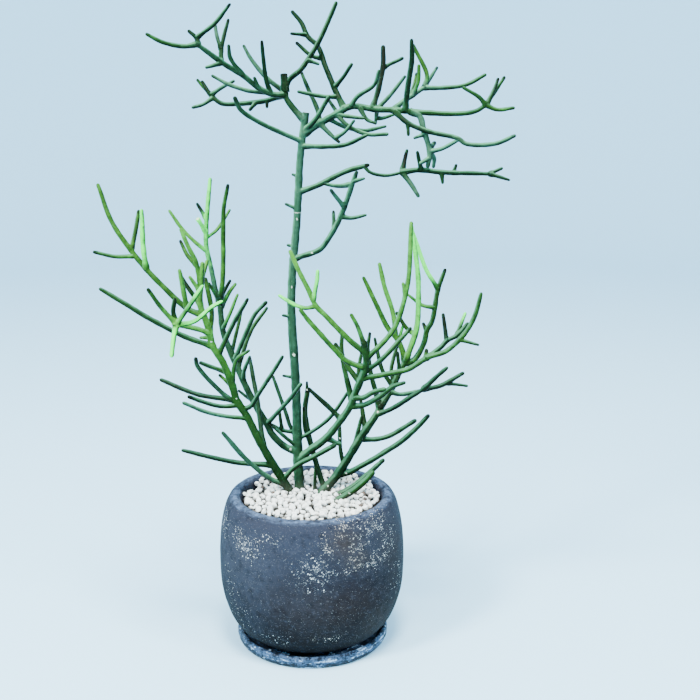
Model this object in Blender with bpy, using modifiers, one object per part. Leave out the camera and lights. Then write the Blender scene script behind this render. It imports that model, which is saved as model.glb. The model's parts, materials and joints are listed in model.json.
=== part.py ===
"""A potted pencil cactus: a bushy many-stemmed euphorbia, 0.8 m tall, in a round stoneware pot.

Metres, +Z up. The origin is on the surface that the saucer stands on, under the pot's middle,
and +X is the plant's right as it is usually shown, with -Y towards the viewer.
Each stem with all its twigs grew as one piece, so it is one solid. The stems stand in holes in
the pumice gravel and in the potting soil under it, which fill the pot.
"""
import math
import random

import bmesh
import bpy
from mathutils import Vector

CM = 0.01
MM = 0.001

# Saucer
SAUCER_RADIUS = 98.5 * MM
SAUCER_BASE_RADIUS = 94.5 * MM
SAUCER_HEIGHT = 15.3 * MM
SAUCER_FLOOR = 7 * MM
SAUCER_FLOOR_RADIUS = 90.5 * MM
SAUCER_EDGE = 2.2 * MM
SAUCER_BASE_CHAMFER = (1.5 * MM, 3 * MM)

# Pot: the lip, and the outer and the inner side as (radius, height) in millimetres
POT_TOP = 198.6 * MM
POT_RIM_RADIUS = 107 * MM
POT_MOUTH_RADIUS = 90 * MM
POT_LIP_ROUND = (POT_RIM_RADIUS - POT_MOUTH_RADIUS) / 2
POT_LIP_MIDDLE = (POT_MOUTH_RADIUS + POT_LIP_ROUND, POT_TOP - POT_LIP_ROUND)
POT_OUTSIDE = [(109.6, 187), (115.6, 163), (118.8, 136), (119.5, 110), (118, 80), (112.5, 56),
               (103, 34), (86, 16)]
POT_INSIDE = [(58, 23), (88, 38.6), (101, 63), (105.5, 96), (104, 129), (96, 158.6), (90, 176)]
POT_FOOT_RADIUS = 66 * MM
DRAIN_RADIUS = 11 * MM
TURNED_STEPS = 40

# Filling
GRAVEL_BOTTOM = 176 * MM
GRAVEL_TOP = 194.5 * MM
GRAVEL_RADIUS = POT_MOUTH_RADIUS - 0.65 * MM
GRAVEL_RINGS = 12
PEBBLE_RISE = 4 * MM
PEBBLE_SCATTER = 1.6 * MM
PEBBLE_STRAY = 0.2
STEM_FOOT = 146 * MM

# Gaps between pieces that touch, and round the stems and the soil
SEAT_GAP = 0.3 * MM
HOLE_GAP = 0.45 * MM

# The eye that the stems are drawn for, in centimetres: to the right, in front, above the floor
EYE = Vector((4.95, -132.5, 70.4))

# How far the limbs spread to the front and the back, for each centimetre that is drawn
DEPTH_SPREAD = 1.35


def seen_at(x, z, back):
    """The place that looks, from the eye, as if at (x, z) on the plane y = 0, but lies at y = back."""
    flat = Vector((x, 0.0, z))
    return (EYE + (flat - EYE) * (1.0 - back / EYE.y)) * CM


def limb(wide, narrow, back, points, *branches):
    """A limb as drawn from the front.

    wide and narrow are its thickness in millimetres at its root and its tip, back is how much
    further back than its root its tip lies, before DEPTH_SPREAD, and points are (x, z) in
    centimetres, root first.
    The branches start on it, at the place nearest to their own first point.
    """
    return {"wide": wide, "narrow": narrow, "back": back, "points": points, "branches": branches}


CROWN_UPPER_LEFT = limb(
    7.2, 5.9, 1.0, [(-0.5, 66.6), (-1.7, 68.0), (-2.6, 69.3), (-2.75, 70.3)],
    limb(7.7, 7.7, 0.3, [(-2.75, 70.0), (-2.85, 72.0)]),
    limb(5.9, 5.1, -5.0, [(-2.7, 69.6), (-4.2, 69.7), (-6.2, 70.7), (-7.7, 71.9), (-10.2, 73.4),
                          (-12.95, 75.4)],
         limb(4.8, 3.8, -2.0, [(-12.9, 75.35), (-14.5, 75.2), (-16.9, 75.6), (-18.7, 76.5)]),
         limb(4.8, 4.2, 0.8, [(-12.9, 75.3), (-13.0, 76.1), (-13.8, 76.85)],
              limb(4.6, 3.8, -1.2, [(-13.0, 76.1), (-10.75, 77.85), (-9.05, 79.8)])),
         limb(4.8, 3.8, 2.8, [(-10.2, 73.4), (-10.1, 75.0), (-9.25, 78.1)],
              limb(4.1, 3.4, 1.2, [(-10.1, 74.8), (-10.6, 76.3), (-10.8, 77.8)])),
         limb(4.5, 3.8, -1.2, [(-10.0, 73.3), (-11.9, 72.8)]),
         limb(4.8, 4.0, -2.6, [(-7.7, 71.9), (-9.1, 73.9), (-9.25, 75.2)]),
         limb(4.5, 3.8, 2.4, [(-4.8, 70.0), (-7.0, 70.1), (-9.0, 70.7), (-11.2, 71.8)]),
         limb(4.8, 4.2, -1.6, [(-4.3, 69.8), (-4.95, 71.4), (-5.35, 75.65)]),
         limb(4.1, 3.4, -1.2, [(-5.0, 70.1), (-5.75, 70.4), (-6.3, 71.5)])),
    limb(5.1, 4.0, 4.2, [(-2.75, 69.9), (-4.55, 71.3), (-6.55, 73.55), (-7.45, 75.2)]),
    limb(5.5, 4.8, 4.6, [(-2.75, 69.6), (-4.9, 69.0), (-8.3, 68.6), (-10.3, 68.65), (-11.5, 69.6),
                         (-12.45, 71.1)],
         limb(4.1, 3.4, 1.6, [(-11.6, 69.8), (-12.3, 70.5), (-13.0, 71.3)]),
         limb(4.3, 3.8, -1.6, [(-11.4, 69.6), (-10.0, 70.6), (-8.8, 71.2)]),
         limb(4.3, 3.8, -1.2, [(-11.2, 69.3), (-12.4, 68.55), (-13.6, 68.2)]),
         limb(4.1, 3.8, -0.4, [(-4.9, 69.0), (-4.9, 68.3)]),
         limb(4.1, 3.6, -0.8, [(-6.3, 68.8), (-6.9, 68.0)])),
    limb(5.9, 4.6, 1.2, [(-2.75, 70.3), (-2.2, 71.4), (-0.8, 72.6), (0.3, 74.1), (1.6, 76.3),
                         (3.3, 79.95)],
         limb(4.1, 3.4, -1.2, [(0.0, 73.6), (1.2, 73.2)])))

CENTRAL_LIMB = limb(
    6.4, 4.6, 6.2, [(4.2, 68.0), (3.4, 69.8), (2.0, 73.0), (1.2, 75.2), (0.0, 76.3), (-0.7, 77.8),
                    (-1.7, 79.0)],
    limb(4.1, 3.8, -1.2, [(-0.1, 76.5), (-1.85, 76.6)]),
    limb(4.5, 3.8, 1.6, [(1.7, 73.8), (0.5, 74.1), (-1.25, 75.5)]),
    limb(4.5, 3.8, -1.8, [(3.1, 70.5), (4.2, 71.7), (5.1, 73.05)]),
    limb(4.5, 3.8, -1.2, [(3.5, 69.5), (2.0, 69.45), (-1.1, 70.0)]))

PALE_LIMB = limb(
    5.5, 4.8, 2.6, [(10.1, 67.85), (11.3, 68.9), (12.3, 69.55), (13.8, 70.6)],
    limb(4.8, 3.8, 1.2, [(13.8, 70.55), (14.0, 72.0), (12.4, 75.2)]),
    limb(4.5, 3.8, 2.0, [(13.7, 70.5), (15.15, 72.7)]),
    limb(4.8, 3.8, -0.8, [(13.7, 70.5), (15.5, 70.45), (18.5, 70.75), (20.8, 71.9)]),
    limb(4.1, 3.8, 1.4, [(12.1, 69.5), (12.6, 71.0), (12.8, 72.0)]),
    limb(4.1, 3.8, -1.0, [(12.5, 69.7), (13.0, 71.3), (13.05, 72.9)]))

HANGING_LIMB = limb(
    6.4, 5.1, -1.8, [(12.0, 67.75), (13.2, 67.2), (13.7, 65.6), (14.5, 63.0), (14.3, 61.4)],
    limb(4.1, 3.8, -0.8, [(13.8, 65.0), (12.7, 64.65)]),
    limb(5.0, 4.6, 0.8, [(14.3, 63.4), (15.0, 64.0)]),
    limb(4.5, 3.8, -1.4, [(14.5, 63.0), (16.0, 63.4), (17.9, 64.4)]),
    limb(4.6, 4.1, 1.2, [(14.4, 63.0), (15.0, 62.3), (14.95, 61.3)]),
    limb(4.1, 3.8, -0.8, [(14.4, 62.3), (13.5, 61.7)]))

LONG_LIMB = limb(
    5.5, 4.0, -5.5, [(10.1, 67.85), (11.8, 66.4), (13.9, 65.5), (17.8, 64.6), (18.8, 63.95),
                     (22.4, 64.0), (24.5, 64.85)],
    limb(4.1, 3.4, -0.3, [(11.9, 66.4), (11.9, 65.1)]))

CROWN_RIGHT = limb(
    7.4, 4.5, -3.0, [(-0.7, 65.1), (2.0, 66.7), (3.5, 67.5), (5.0, 68.3), (8.0, 68.0), (11.5, 67.8),
                     (17.0, 67.45), (19.9, 67.8), (21.2, 68.6)],
    limb(4.5, 3.4, 1.2, [(21.2, 68.5), (22.0, 70.3), (22.4, 71.4)]),
    limb(4.1, 3.4, 2.2, [(21.1, 68.5), (21.9, 69.7), (23.1, 71.6)]),
    limb(4.5, 3.4, -1.0, [(21.1, 68.5), (22.4, 67.95), (24.3, 68.15)]),
    limb(4.5, 3.4, -0.8, [(21.0, 68.4), (20.2, 69.4), (18.4, 70.45)]),
    limb(5.1, 4.0, 3.8, [(1.4, 66.4), (1.0, 68.2), (0.0, 70.4), (-0.75, 72.2)]),
    limb(4.1, 3.4, 1.8, [(3.4, 67.5), (2.5, 69.0)]),
    CENTRAL_LIMB,
    limb(4.5, 3.8, -3.4, [(4.9, 68.3), (5.8, 69.4), (7.8, 70.8), (8.3, 72.3)]),
    limb(5.7, 5.1, 2.2, [(7.6, 68.05), (8.3, 70.2), (8.85, 73.0), (8.85, 75.0)],
         limb(4.3, 3.8, 1.6, [(8.8, 72.6), (9.5, 73.1), (11.05, 73.8)])),
    limb(4.5, 3.8, 4.4, [(8.2, 68.0), (9.7, 69.6), (11.4, 71.7)]),
    limb(5.7, 5.1, -1.8, [(11.5, 67.9), (11.7, 70.0), (12.2, 73.5), (12.15, 75.8)]),
    PALE_LIMB,
    limb(4.8, 4.2, -1.4, [(1.4, 66.4), (2.5, 65.2), (3.6, 64.2)],
         limb(4.1, 3.4, -1.2, [(3.2, 64.6), (4.3, 65.3), (5.4, 66.6)])),
    limb(4.8, 3.8, -3.4, [(3.4, 67.4), (4.5, 66.2), (6.8, 65.1), (9.3, 65.1)]),
    limb(4.5, 3.8, 2.6, [(2.3, 66.9), (4.4, 65.9), (6.7, 65.5), (9.1, 66.0)]),
    limb(4.5, 3.8, -1.6, [(3.2, 67.3), (6.5, 66.95)]),
    limb(4.5, 3.8, -1.4, [(6.1, 68.2), (7.0, 66.8), (7.9, 66.4)]),
    limb(4.1, 3.6, 1.4, [(8.1, 68.0), (8.0, 66.4)],
         limb(4.1, 3.4, 1.2, [(8.05, 66.9), (8.8, 66.95), (10.3, 67.4)])),
    HANGING_LIMB,
    LONG_LIMB)

MIDDLE_RIGHT = limb(
    6.0, 5.5, -1.6, [(-1.3, 58.2), (1.0, 59.0), (3.0, 60.0), (5.0, 60.9), (7.0, 61.4)],
    limb(3.4, 3.4, -1.2, [(6.6, 61.3), (7.3, 60.6), (9.3, 60.2), (11.4, 60.6)],
         limb(5.7, 4.1, -2.2, [(11.1, 60.5), (13.3, 60.85), (15.8, 60.6), (21.9, 60.4)],
              limb(4.0, 3.3, 0.6, [(21.7, 60.4), (23.1, 61.0)]),
              limb(4.0, 3.1, -0.8, [(21.7, 60.4), (24.05, 59.7)]),
              limb(5.3, 4.6, 1.0, [(11.2, 60.5), (11.5, 62.0), (11.75, 63.1)]),
              limb(4.5, 4.0, -1.2, [(13.4, 60.8), (13.05, 62.9)]),
              limb(5.1, 4.6, -1.4, [(11.2, 60.5), (12.4, 59.0), (13.2, 57.8)]),
              limb(4.5, 4.0, -0.3, [(15.9, 60.6), (16.1, 59.4)]),
              limb(4.0, 3.4, 0.6, [(17.3, 60.5), (17.65, 61.4)]))))

LOWER_RIGHT = limb(
    6.0, 5.1, -4.6, [(-1.95, 50.0), (-1.0, 50.4), (1.3, 51.3), (2.2, 52.4), (3.6, 54.8), (4.9, 58.2),
                     (5.7, 60.5)],
    limb(4.8, 4.2, -1.8, [(4.2, 56.4), (2.7, 58.4)]),
    limb(4.1, 3.4, -1.0, [(5.2, 59.6), (6.6, 59.8)]),
    limb(5.2, 3.8, 2.2, [(5.1, 59.2), (3.6, 58.95), (2.0, 59.15)]),
    limb(4.5, 3.8, -0.8, [(3.8, 55.4), (5.0, 55.1), (6.8, 55.45)]),
    limb(4.5, 3.8, 1.4, [(3.0, 53.8), (2.95, 55.8)]))

# The limb that leaves the tall stem low on its left and rises behind the left stem
REAR_LEFT = limb(
    8.1, 6.5, 5.2, [(-2.0, 25.3), (-3.3, 25.9), (-4.95, 27.6), (-5.6, 29.0), (-6.9, 31.2),
                    (-8.2, 34.0), (-10.2, 39.0), (-10.9, 41.2), (-11.15, 45.2)],
    limb(6.0, 4.8, 2.0, [(-11.2, 44.4), (-11.6, 46.2), (-12.1, 49.0), (-12.6, 51.6), (-12.5, 54.4),
                         (-11.9, 59.7)],
         limb(4.5, 3.6, -1.6, [(-12.5, 51.0), (-14.0, 52.2), (-15.5, 53.8), (-16.9, 55.9)]),
         limb(4.8, 4.1, 1.2, [(-12.5, 55.0), (-13.5, 56.75)]),
         limb(5.1, 4.5, -1.2, [(-12.6, 53.4), (-13.55, 54.95)]),
         limb(3.8, 3.4, 2.4, [(-12.5, 52.6), (-11.3, 53.6), (-9.65, 56.0)])),
    limb(6.0, 4.8, -0.8, [(-11.1, 45.0), (-10.75, 47.2), (-10.5, 53.5), (-10.35, 56.2),
                          (-9.8, 58.95)]),
    limb(5.1, 4.2, -2.0, [(-11.15, 44.8), (-12.4, 47.0)]),
    limb(4.8, 4.0, 1.8, [(-11.1, 45.0), (-9.85, 47.3)]),
    limb(5.5, 4.3, 3.2, [(-11.1, 43.8), (-9.9, 46.0), (-9.2, 46.9)]),
    limb(4.5, 3.6, -2.6, [(-10.9, 41.2), (-9.9, 43.3), (-8.95, 45.6)]),
    limb(4.5, 3.6, 3.6, [(-9.8, 38.2), (-9.0, 41.5), (-8.5, 43.8)]),
    limb(5.5, 4.3, -2.2, [(-9.5, 37.2), (-7.9, 41.0), (-6.8, 43.2), (-5.5, 44.6)]),
    limb(5.0, 4.0, 4.2, [(-9.1, 36.2), (-7.4, 41.0), (-5.4, 43.9)]),
    limb(4.8, 4.1, -1.6, [(-8.5, 34.6), (-8.3, 36.0), (-7.6, 37.7)]),
    limb(4.1, 3.6, 2.4, [(-7.2, 31.9), (-9.0, 33.3)]),
    limb(5.2, 4.3, -3.6, [(-5.6, 29.0), (-4.4, 30.3), (-2.3, 32.7), (-1.3, 34.1)]))

# The limb that leaves the tall stem low in front and carries the front of the right-hand bush
FRONT_RIGHT = limb(
    8.9, 6.9, -5.6, [(-1.7, 24.1), (0.0, 25.55), (1.1, 26.35), (2.1, 27.3), (3.2, 28.6), (4.8, 31.0),
                     (5.6, 33.0), (6.6, 35.5), (6.95, 37.2), (6.75, 39.4)],
    limb(5.8, 5.3, 0.3, [(2.0, 27.2), (2.9, 26.6), (3.6, 26.3)]),
    limb(5.5, 5.2, 1.2, [(3.8, 29.5), (2.0, 31.4), (-0.15, 33.5)]),
    limb(6.4, 4.5, 2.2, [(5.2, 31.9), (4.9, 33.2), (4.3, 36.0), (3.9, 38.5), (3.95, 40.5)],
         limb(5.2, 5.2, 0.3, [(4.0, 37.8), (3.2, 39.25)])),
    limb(5.9, 5.2, 1.0, [(6.1, 34.5), (4.9, 36.1), (4.45, 37.0)]),
    limb(5.0, 4.1, 2.6, [(5.9, 34.0), (6.1, 36.4), (6.4, 38.2)]),
    limb(5.9, 4.8, -2.6, [(6.9, 36.5), (6.0, 36.55), (4.4, 37.3), (3.0, 38.7), (0.0, 42.15),
                          (-1.1, 43.6)]),
    limb(5.9, 4.5, -1.6, [(6.8, 38.3), (5.0, 39.8), (1.9, 43.0), (0.75, 44.2), (-0.2, 46.3),
                          (-1.3, 48.5), (-2.3, 50.9)],
         limb(4.6, 4.1, -1.2, [(0.5, 44.9), (0.85, 47.2), (0.95, 48.5)]),
         limb(4.5, 3.6, 0.8, [(0.75, 44.2), (-0.5, 43.95), (-1.9, 44.4), (-3.7, 45.5)])),
    limb(5.1, 4.1, 2.6, [(6.75, 39.2), (5.9, 41.6), (5.15, 43.0)]),
    limb(5.7, 4.5, -2.2, [(6.9, 37.6), (8.3, 38.8), (9.6, 40.2), (10.5, 41.5), (11.5, 44.4),
                          (12.2, 48.2), (12.3, 52.0), (12.4, 54.4)],
         limb(4.5, 4.0, -0.4, [(11.8, 45.7), (11.5, 46.95)])),
    limb(5.5, 4.8, 0.8, [(6.7, 35.6), (8.7, 37.2), (12.4, 41.3)]),
    limb(6.0, 4.8, -3.0, [(6.4, 35.0), (8.0, 35.2), (10.0, 35.6), (12.2, 36.1), (14.6, 37.6),
                          (17.0, 38.5), (19.0, 40.4), (20.4, 42.9), (21.1, 45.7)],
         limb(5.5, 4.5, 1.2, [(14.5, 37.5), (16.4, 39.1), (17.0, 39.8), (18.2, 40.45), (19.5, 41.9)],
              limb(4.3, 4.0, 1.0, [(17.0, 39.8), (16.5, 43.05)]),
              limb(4.3, 3.6, 1.6, [(18.2, 40.5), (19.2, 43.2)])),
         limb(3.8, 3.3, -0.8, [(18.6, 40.0), (20.9, 39.3)]),
         limb(4.5, 4.1, 0.4, [(14.4, 37.5), (14.5, 38.5)])),
    limb(6.2, 5.2, -1.4, [(5.0, 31.4), (6.5, 31.4), (8.6, 32.5), (10.4, 33.9), (11.7, 34.35)]),
    limb(5.7, 5.2, -2.8, [(5.4, 32.5), (6.6, 32.4), (7.8, 33.1), (9.2, 33.5)]))

TALL_STEM = limb(
    11.6, 7.2, 0.0, [(-1.55, 20.2), (-1.72, 25.0), (-1.85, 34.0), (-2.05, 38.0), (-2.3, 43.0),
                     (-2.14, 48.0), (-1.5, 55.0), (-0.95, 63.0), (-0.3, 67.6)],
    limb(3.8, 3.3, 0.4, [(-1.9, 35.0), (-3.35, 35.3)]),
    limb(3.8, 3.3, -0.5, [(-2.3, 42.8), (-3.3, 43.0)]),
    limb(4.0, 3.4, 0.4, [(-1.8, 51.5), (-2.6, 51.75)]),
    limb(3.6, 3.3, -0.4, [(-1.4, 56.2), (-2.75, 56.75)]),
    limb(3.6, 3.3, 0.3, [(-1.2, 60.0), (-1.9, 60.3)]),
    limb(4.3, 3.8, -1.4, [(-1.75, 27.1), (-0.4, 27.6), (2.0, 29.4), (3.1, 30.7), (4.7, 33.1)]),
    limb(4.5, 4.0, 0.8, [(-1.8, 27.8), (-3.5, 28.1), (-5.0, 28.9)],
         limb(4.1, 3.6, 0.8, [(-3.6, 28.2), (-4.0, 30.7)])),
    limb(4.5, 4.0, -1.4, [(-1.8, 26.0), (-2.7, 26.7), (-4.8, 28.6)]),
    limb(4.8, 4.0, 2.4, [(-1.8, 27.2), (-2.6, 28.6), (-3.1, 30.2), (-4.7, 35.1)]),
    limb(5.2, 4.3, -5.6, [(-1.0, 64.2), (-4.9, 66.0), (-8.0, 67.9), (-8.65, 69.2)]),
    limb(5.2, 4.6, -2.2, [(-0.6, 65.3), (0.9, 66.9), (2.4, 69.3)]),
    limb(5.2, 4.0, -4.2, [(-0.9, 63.6), (4.2, 63.8), (6.8, 64.9)]),
    CROWN_UPPER_LEFT, CROWN_RIGHT, MIDDLE_RIGHT, LOWER_RIGHT, REAR_LEFT, FRONT_RIGHT)

LEFT_STEM = limb(
    10.0, 5.5, -6.0, [(-2.85, 20.0), (-4.5, 22.8), (-6.3, 26.1), (-8.2, 30.1), (-9.3, 32.0),
                      (-9.9, 34.2), (-11.0, 37.1), (-12.2, 39.1), (-12.5, 40.6), (-13.0, 42.5),
                      (-13.6, 44.6), (-13.15, 49.4)],
    limb(5.5, 5.8, -1.9, [(-3.6, 21.6), (-1.9, 23.35), (0.5, 24.7), (2.9, 26.05)]),
    limb(6.4, 4.6, -1.0, [(-4.9, 23.4), (-9.5, 23.8), (-16.3, 25.4)]),
    limb(5.5, 5.0, -4.0, [(-3.2, 20.7), (-5.0, 21.4), (-8.4, 24.3), (-11.2, 27.7)]),
    limb(5.5, 4.8, 2.6, [(-9.3, 32.0), (-13.0, 32.6), (-15.0, 33.1), (-18.7, 34.7)]),
    limb(5.1, 4.3, -2.2, [(-9.0, 31.4), (-11.5, 31.3), (-15.3, 32.5)]),
    limb(4.8, 3.8, -3.6, [(-8.0, 29.6), (-12.5, 30.3), (-16.0, 31.7)]),
    limb(5.1, 4.3, -1.0, [(-9.1, 31.6), (-11.0, 32.9), (-14.2, 36.6), (-14.35, 37.4)]),
    limb(5.1, 4.6, 2.2, [(-10.5, 35.6), (-13.7, 36.95)]),
    limb(4.5, 4.0, 1.6, [(-9.8, 33.8), (-11.4, 35.3)]),
    limb(4.8, 4.3, 0.6, [(-12.4, 40.3), (-13.6, 40.2)]),
    limb(5.9, 4.6, -3.0, [(-12.2, 39.2), (-16.0, 40.5), (-19.0, 42.1), (-25.75, 46.3)]),
    limb(5.3, 5.2, -3.6, [(-12.5, 40.8), (-14.0, 41.3), (-16.8, 41.9)],
         limb(5.2, 4.6, 0.6, [(-16.7, 41.9), (-16.95, 43.5), (-16.75, 44.9)]),
         limb(4.8, 4.1, -1.6, [(-16.7, 41.9), (-18.5, 44.1), (-19.9, 46.2)]),
         limb(5.3, 4.6, -1.2, [(-16.7, 41.9), (-17.0, 40.2), (-17.35, 38.0)]),
         limb(4.8, 4.1, -1.4, [(-16.6, 41.9), (-15.3, 43.7), (-13.3, 46.6)]),
         limb(4.8, 4.1, 1.0, [(-16.5, 41.8), (-14.3, 42.3), (-12.2, 44.0), (-11.0, 44.7)])),
    limb(6.0, 4.6, 3.4, [(-13.2, 43.1), (-15.2, 43.9), (-18.3, 46.9), (-20.2, 49.0), (-21.8, 51.1),
                         (-24.1, 54.9), (-25.4, 59.0)],
         limb(5.0, 4.3, 1.6, [(-21.8, 51.2), (-21.2, 53.4), (-20.7, 55.8)]),
         limb(5.5, 4.8, -1.4, [(-20.1, 48.9), (-20.3, 51.5), (-20.3, 55.9)]),
         limb(4.5, 3.6, -1.2, [(-21.4, 50.5), (-23.8, 50.35), (-26.25, 50.9)]),
         limb(5.5, 4.6, -1.8, [(-15.2, 43.9), (-15.6, 46.0), (-15.95, 48.6)])),
    limb(4.8, 4.1, 1.2, [(-13.5, 44.4), (-15.2, 46.8), (-15.7, 47.7)]),
    limb(4.5, 4.0, -1.0, [(-13.5, 46.0), (-14.7, 47.8)]),
    limb(4.8, 4.1, 1.6, [(-13.4, 46.9), (-12.6, 49.7)]),
    limb(5.1, 4.1, -1.4, [(-13.4, 47.0), (-14.0, 49.9), (-14.7, 51.3), (-15.6, 53.6)],
         limb(4.3, 3.8, 1.6, [(-13.8, 49.2), (-14.9, 50.5), (-15.7, 52.2)])),
    limb(5.5, 4.8, 1.8, [(-12.5, 40.8), (-12.2, 43.4), (-12.8, 47.5)]),
    limb(5.5, 4.3, -0.8, [(-11.5, 38.0), (-9.4, 42.2), (-7.75, 45.0)]),
    limb(4.8, 3.8, -1.4, [(-9.9, 34.2), (-9.2, 37.4), (-7.75, 38.5)]),
    limb(5.1, 4.1, -1.2, [(-8.6, 30.8), (-7.6, 31.3), (-6.5, 33.0), (-3.5, 37.7)]),
    limb(5.7, 4.8, 5.6, [(-5.7, 25.0), (-6.2, 27.0), (-6.75, 32.0), (-7.6, 37.5)]))

RIGHT_STEM = limb(
    10.7, 8.4, 3.4, [(1.35, 19.75), (2.9, 21.6), (3.8, 22.9), (6.6, 27.6), (8.3, 30.2), (8.7, 31.2)],
    limb(6.4, 6.0, 4.2, [(1.8, 20.2), (0.75, 23.2), (0.3, 25.0), (-0.3, 27.6), (-0.75, 30.8),
                         (-0.4, 33.3)],
         limb(4.1, 3.4, 0.2, [(-0.45, 33.0), (-0.45, 34.4)]),
         limb(5.0, 4.3, 0.6, [(0.1, 25.9), (-0.75, 28.4), (-0.9, 31.0)])),
    limb(4.8, 4.3, 1.4, [(4.1, 23.5), (3.75, 25.4), (3.6, 29.0)]),
    limb(5.2, 4.6, 1.2, [(5.4, 25.6), (6.1, 28.5), (6.4, 29.8)]),
    limb(6.0, 5.3, 2.0, [(6.3, 27.0), (8.0, 26.9), (10.0, 27.4), (13.1, 29.35)]),
    limb(6.7, 5.7, 2.2, [(3.4, 22.2), (4.6, 22.4), (6.5, 23.4), (11.3, 26.5), (12.9, 27.9),
                         (14.8, 29.95)]),
    limb(6.4, 4.8, 1.6, [(7.0, 28.2), (6.7, 29.6), (6.3, 31.9)]),
    limb(5.8, 5.5, -1.6, [(8.3, 30.2), (9.8, 30.75), (12.6, 32.5), (14.3, 33.6)],
         limb(5.5, 5.0, -1.2, [(14.2, 33.5), (16.1, 35.4), (17.05, 36.25)]),
         limb(5.5, 5.0, 1.6, [(14.2, 33.5), (16.3, 34.0), (19.05, 35.55)],
              limb(4.0, 3.3, 0.8, [(17.0, 34.4), (19.6, 34.0)]))),
    limb(6.5, 4.1, 2.2, [(8.6, 31.0), (8.15, 33.3), (7.55, 35.6), (7.2, 39.0), (7.4, 40.7)]),
    limb(8.1, 7.2, 2.6, [(8.6, 31.0), (10.0, 33.2), (11.0, 35.4), (11.9, 37.2)],
         limb(5.2, 4.8, -2.0, [(10.0, 33.2), (11.2, 32.85), (13.9, 33.35)]),
         limb(5.3, 4.3, 1.8, [(10.2, 33.9), (9.0, 36.0), (8.4, 38.3), (8.05, 40.0)]),
         limb(4.8, 4.3, 1.8, [(10.4, 34.4), (10.1, 35.8), (10.8, 39.2)]),
         limb(4.6, 4.0, -1.0, [(11.1, 35.7), (10.9, 38.2)]),
         limb(6.7, 5.0, 2.2, [(11.8, 37.1), (11.5, 38.5), (10.8, 40.1), (9.7, 41.4), (8.2, 44.4),
                              (6.65, 47.65)],
              limb(5.5, 5.2, -1.2, [(10.6, 40.3), (10.35, 43.0), (9.1, 47.0), (8.6, 49.35)]),
              limb(4.3, 4.0, 1.0, [(10.9, 39.8), (11.55, 41.7)])),
         limb(7.2, 4.8, -1.0, [(11.8, 37.0), (12.4, 38.6), (13.2, 41.2), (13.4, 44.5), (13.25, 48.5),
                               (12.45, 54.0)],
              limb(5.0, 4.5, 2.4, [(13.0, 40.7), (12.0, 41.4), (10.8, 43.3)])),
         limb(6.9, 5.2, 2.8, [(11.7, 36.9), (12.9, 37.3), (14.2, 39.6), (14.55, 41.2), (15.1, 42.2),
                              (15.8, 46.3), (16.6, 48.65)],
              limb(4.3, 4.0, 0.3, [(14.5, 41.0), (14.1, 41.9)]),
              limb(4.5, 3.6, -2.2, [(15.5, 44.0), (13.9, 44.3), (12.1, 45.65)]),
              limb(5.0, 4.3, -1.4, [(15.8, 46.3), (14.3, 48.8), (12.65, 53.3)]))))

LOW_SHOOT_FRONT = limb(
    7.7, 6.7, -1.6, [(3.3, 18.7), (4.3, 19.3), (5.8, 20.3), (7.0, 21.4), (7.8, 22.3)])

LOW_SHOOT_BEHIND = limb(6.7, 6.0, 0.4, [(2.9, 19.2), (4.5, 20.0), (6.3, 21.4), (9.1, 24.0)])

SLIM_SHOOT = limb(4.1, 3.4, -0.6, [(0.42, 20.1), (0.46, 21.6), (0.52, 23.0)])

# Each stem that stands in the gravel, and how far back its foot is, in centimetres
STANDING_STEMS = {
    "tall_stem": (TALL_STEM, 1.5),
    "left_stem": (LEFT_STEM, 1.0),
    "right_stem": (RIGHT_STEM, 0.4),
    "low_shoot_front": (LOW_SHOOT_FRONT, -2.4),
    "low_shoot_behind": (LOW_SHOOT_BEHIND, -0.6),
    "slim_shoot": (SLIM_SHOOT, 0.9),
}


def nearest_place(path, x, z):
    """The place (x, z, back) on a laid-out path that is nearest to (x, z) in the front view."""
    places = []
    for start, end in zip(path, path[1:]):
        ax, az, bx, bz = start[0], start[1], end[0], end[1]
        span = (bx - ax) ** 2 + (bz - az) ** 2
        t = ((x - ax) * (bx - ax) + (z - az) * (bz - az)) / span
        t = min(max(t, 0.0), 1.0)
        place = [a + (b - a) * t for a, b in zip(start, end)]
        places.append((math.hypot(x - place[0], z - place[1]), place[:3]))
    return min(places)[1]


def lay_out(drawn, back, parent=None):
    """A limb's path as (x, z, back, radius in mm), its back growing evenly along its length."""
    points = list(drawn["points"])
    if parent:
        x, z, back = nearest_place(parent, *points[0])
        points[0] = (x, z)
    steps = [math.dist(a, b) for a, b in zip(points, points[1:])]
    path = []
    for number, (x, z) in enumerate(points):
        part = sum(steps[:number]) / sum(steps)
        thick = drawn["wide"] + (drawn["narrow"] - drawn["wide"]) * part
        path.append((x, z, back + drawn["back"] * DEPTH_SPREAD * part, thick / 2))
    return path


def limb_paths(drawn, back, parent=None):
    """The paths of a limb and of all that grows from it, the limb itself first."""
    path = lay_out(drawn, back, parent)
    paths = [path]
    for branch in drawn["branches"]:
        paths += limb_paths(branch, back, path)
    return paths


def in_space(path):
    """A laid-out path as places in the room, each with its radius in metres."""
    return [(seen_at(x, z, back), radius * MM) for x, z, back, radius in path]


def rooted(places, foot):
    """The same places, with the stem going straight down from the first one to the foot's height."""
    top, radius = places[0]
    return [(Vector((top.x, top.y, foot)), radius)] + places


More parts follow.
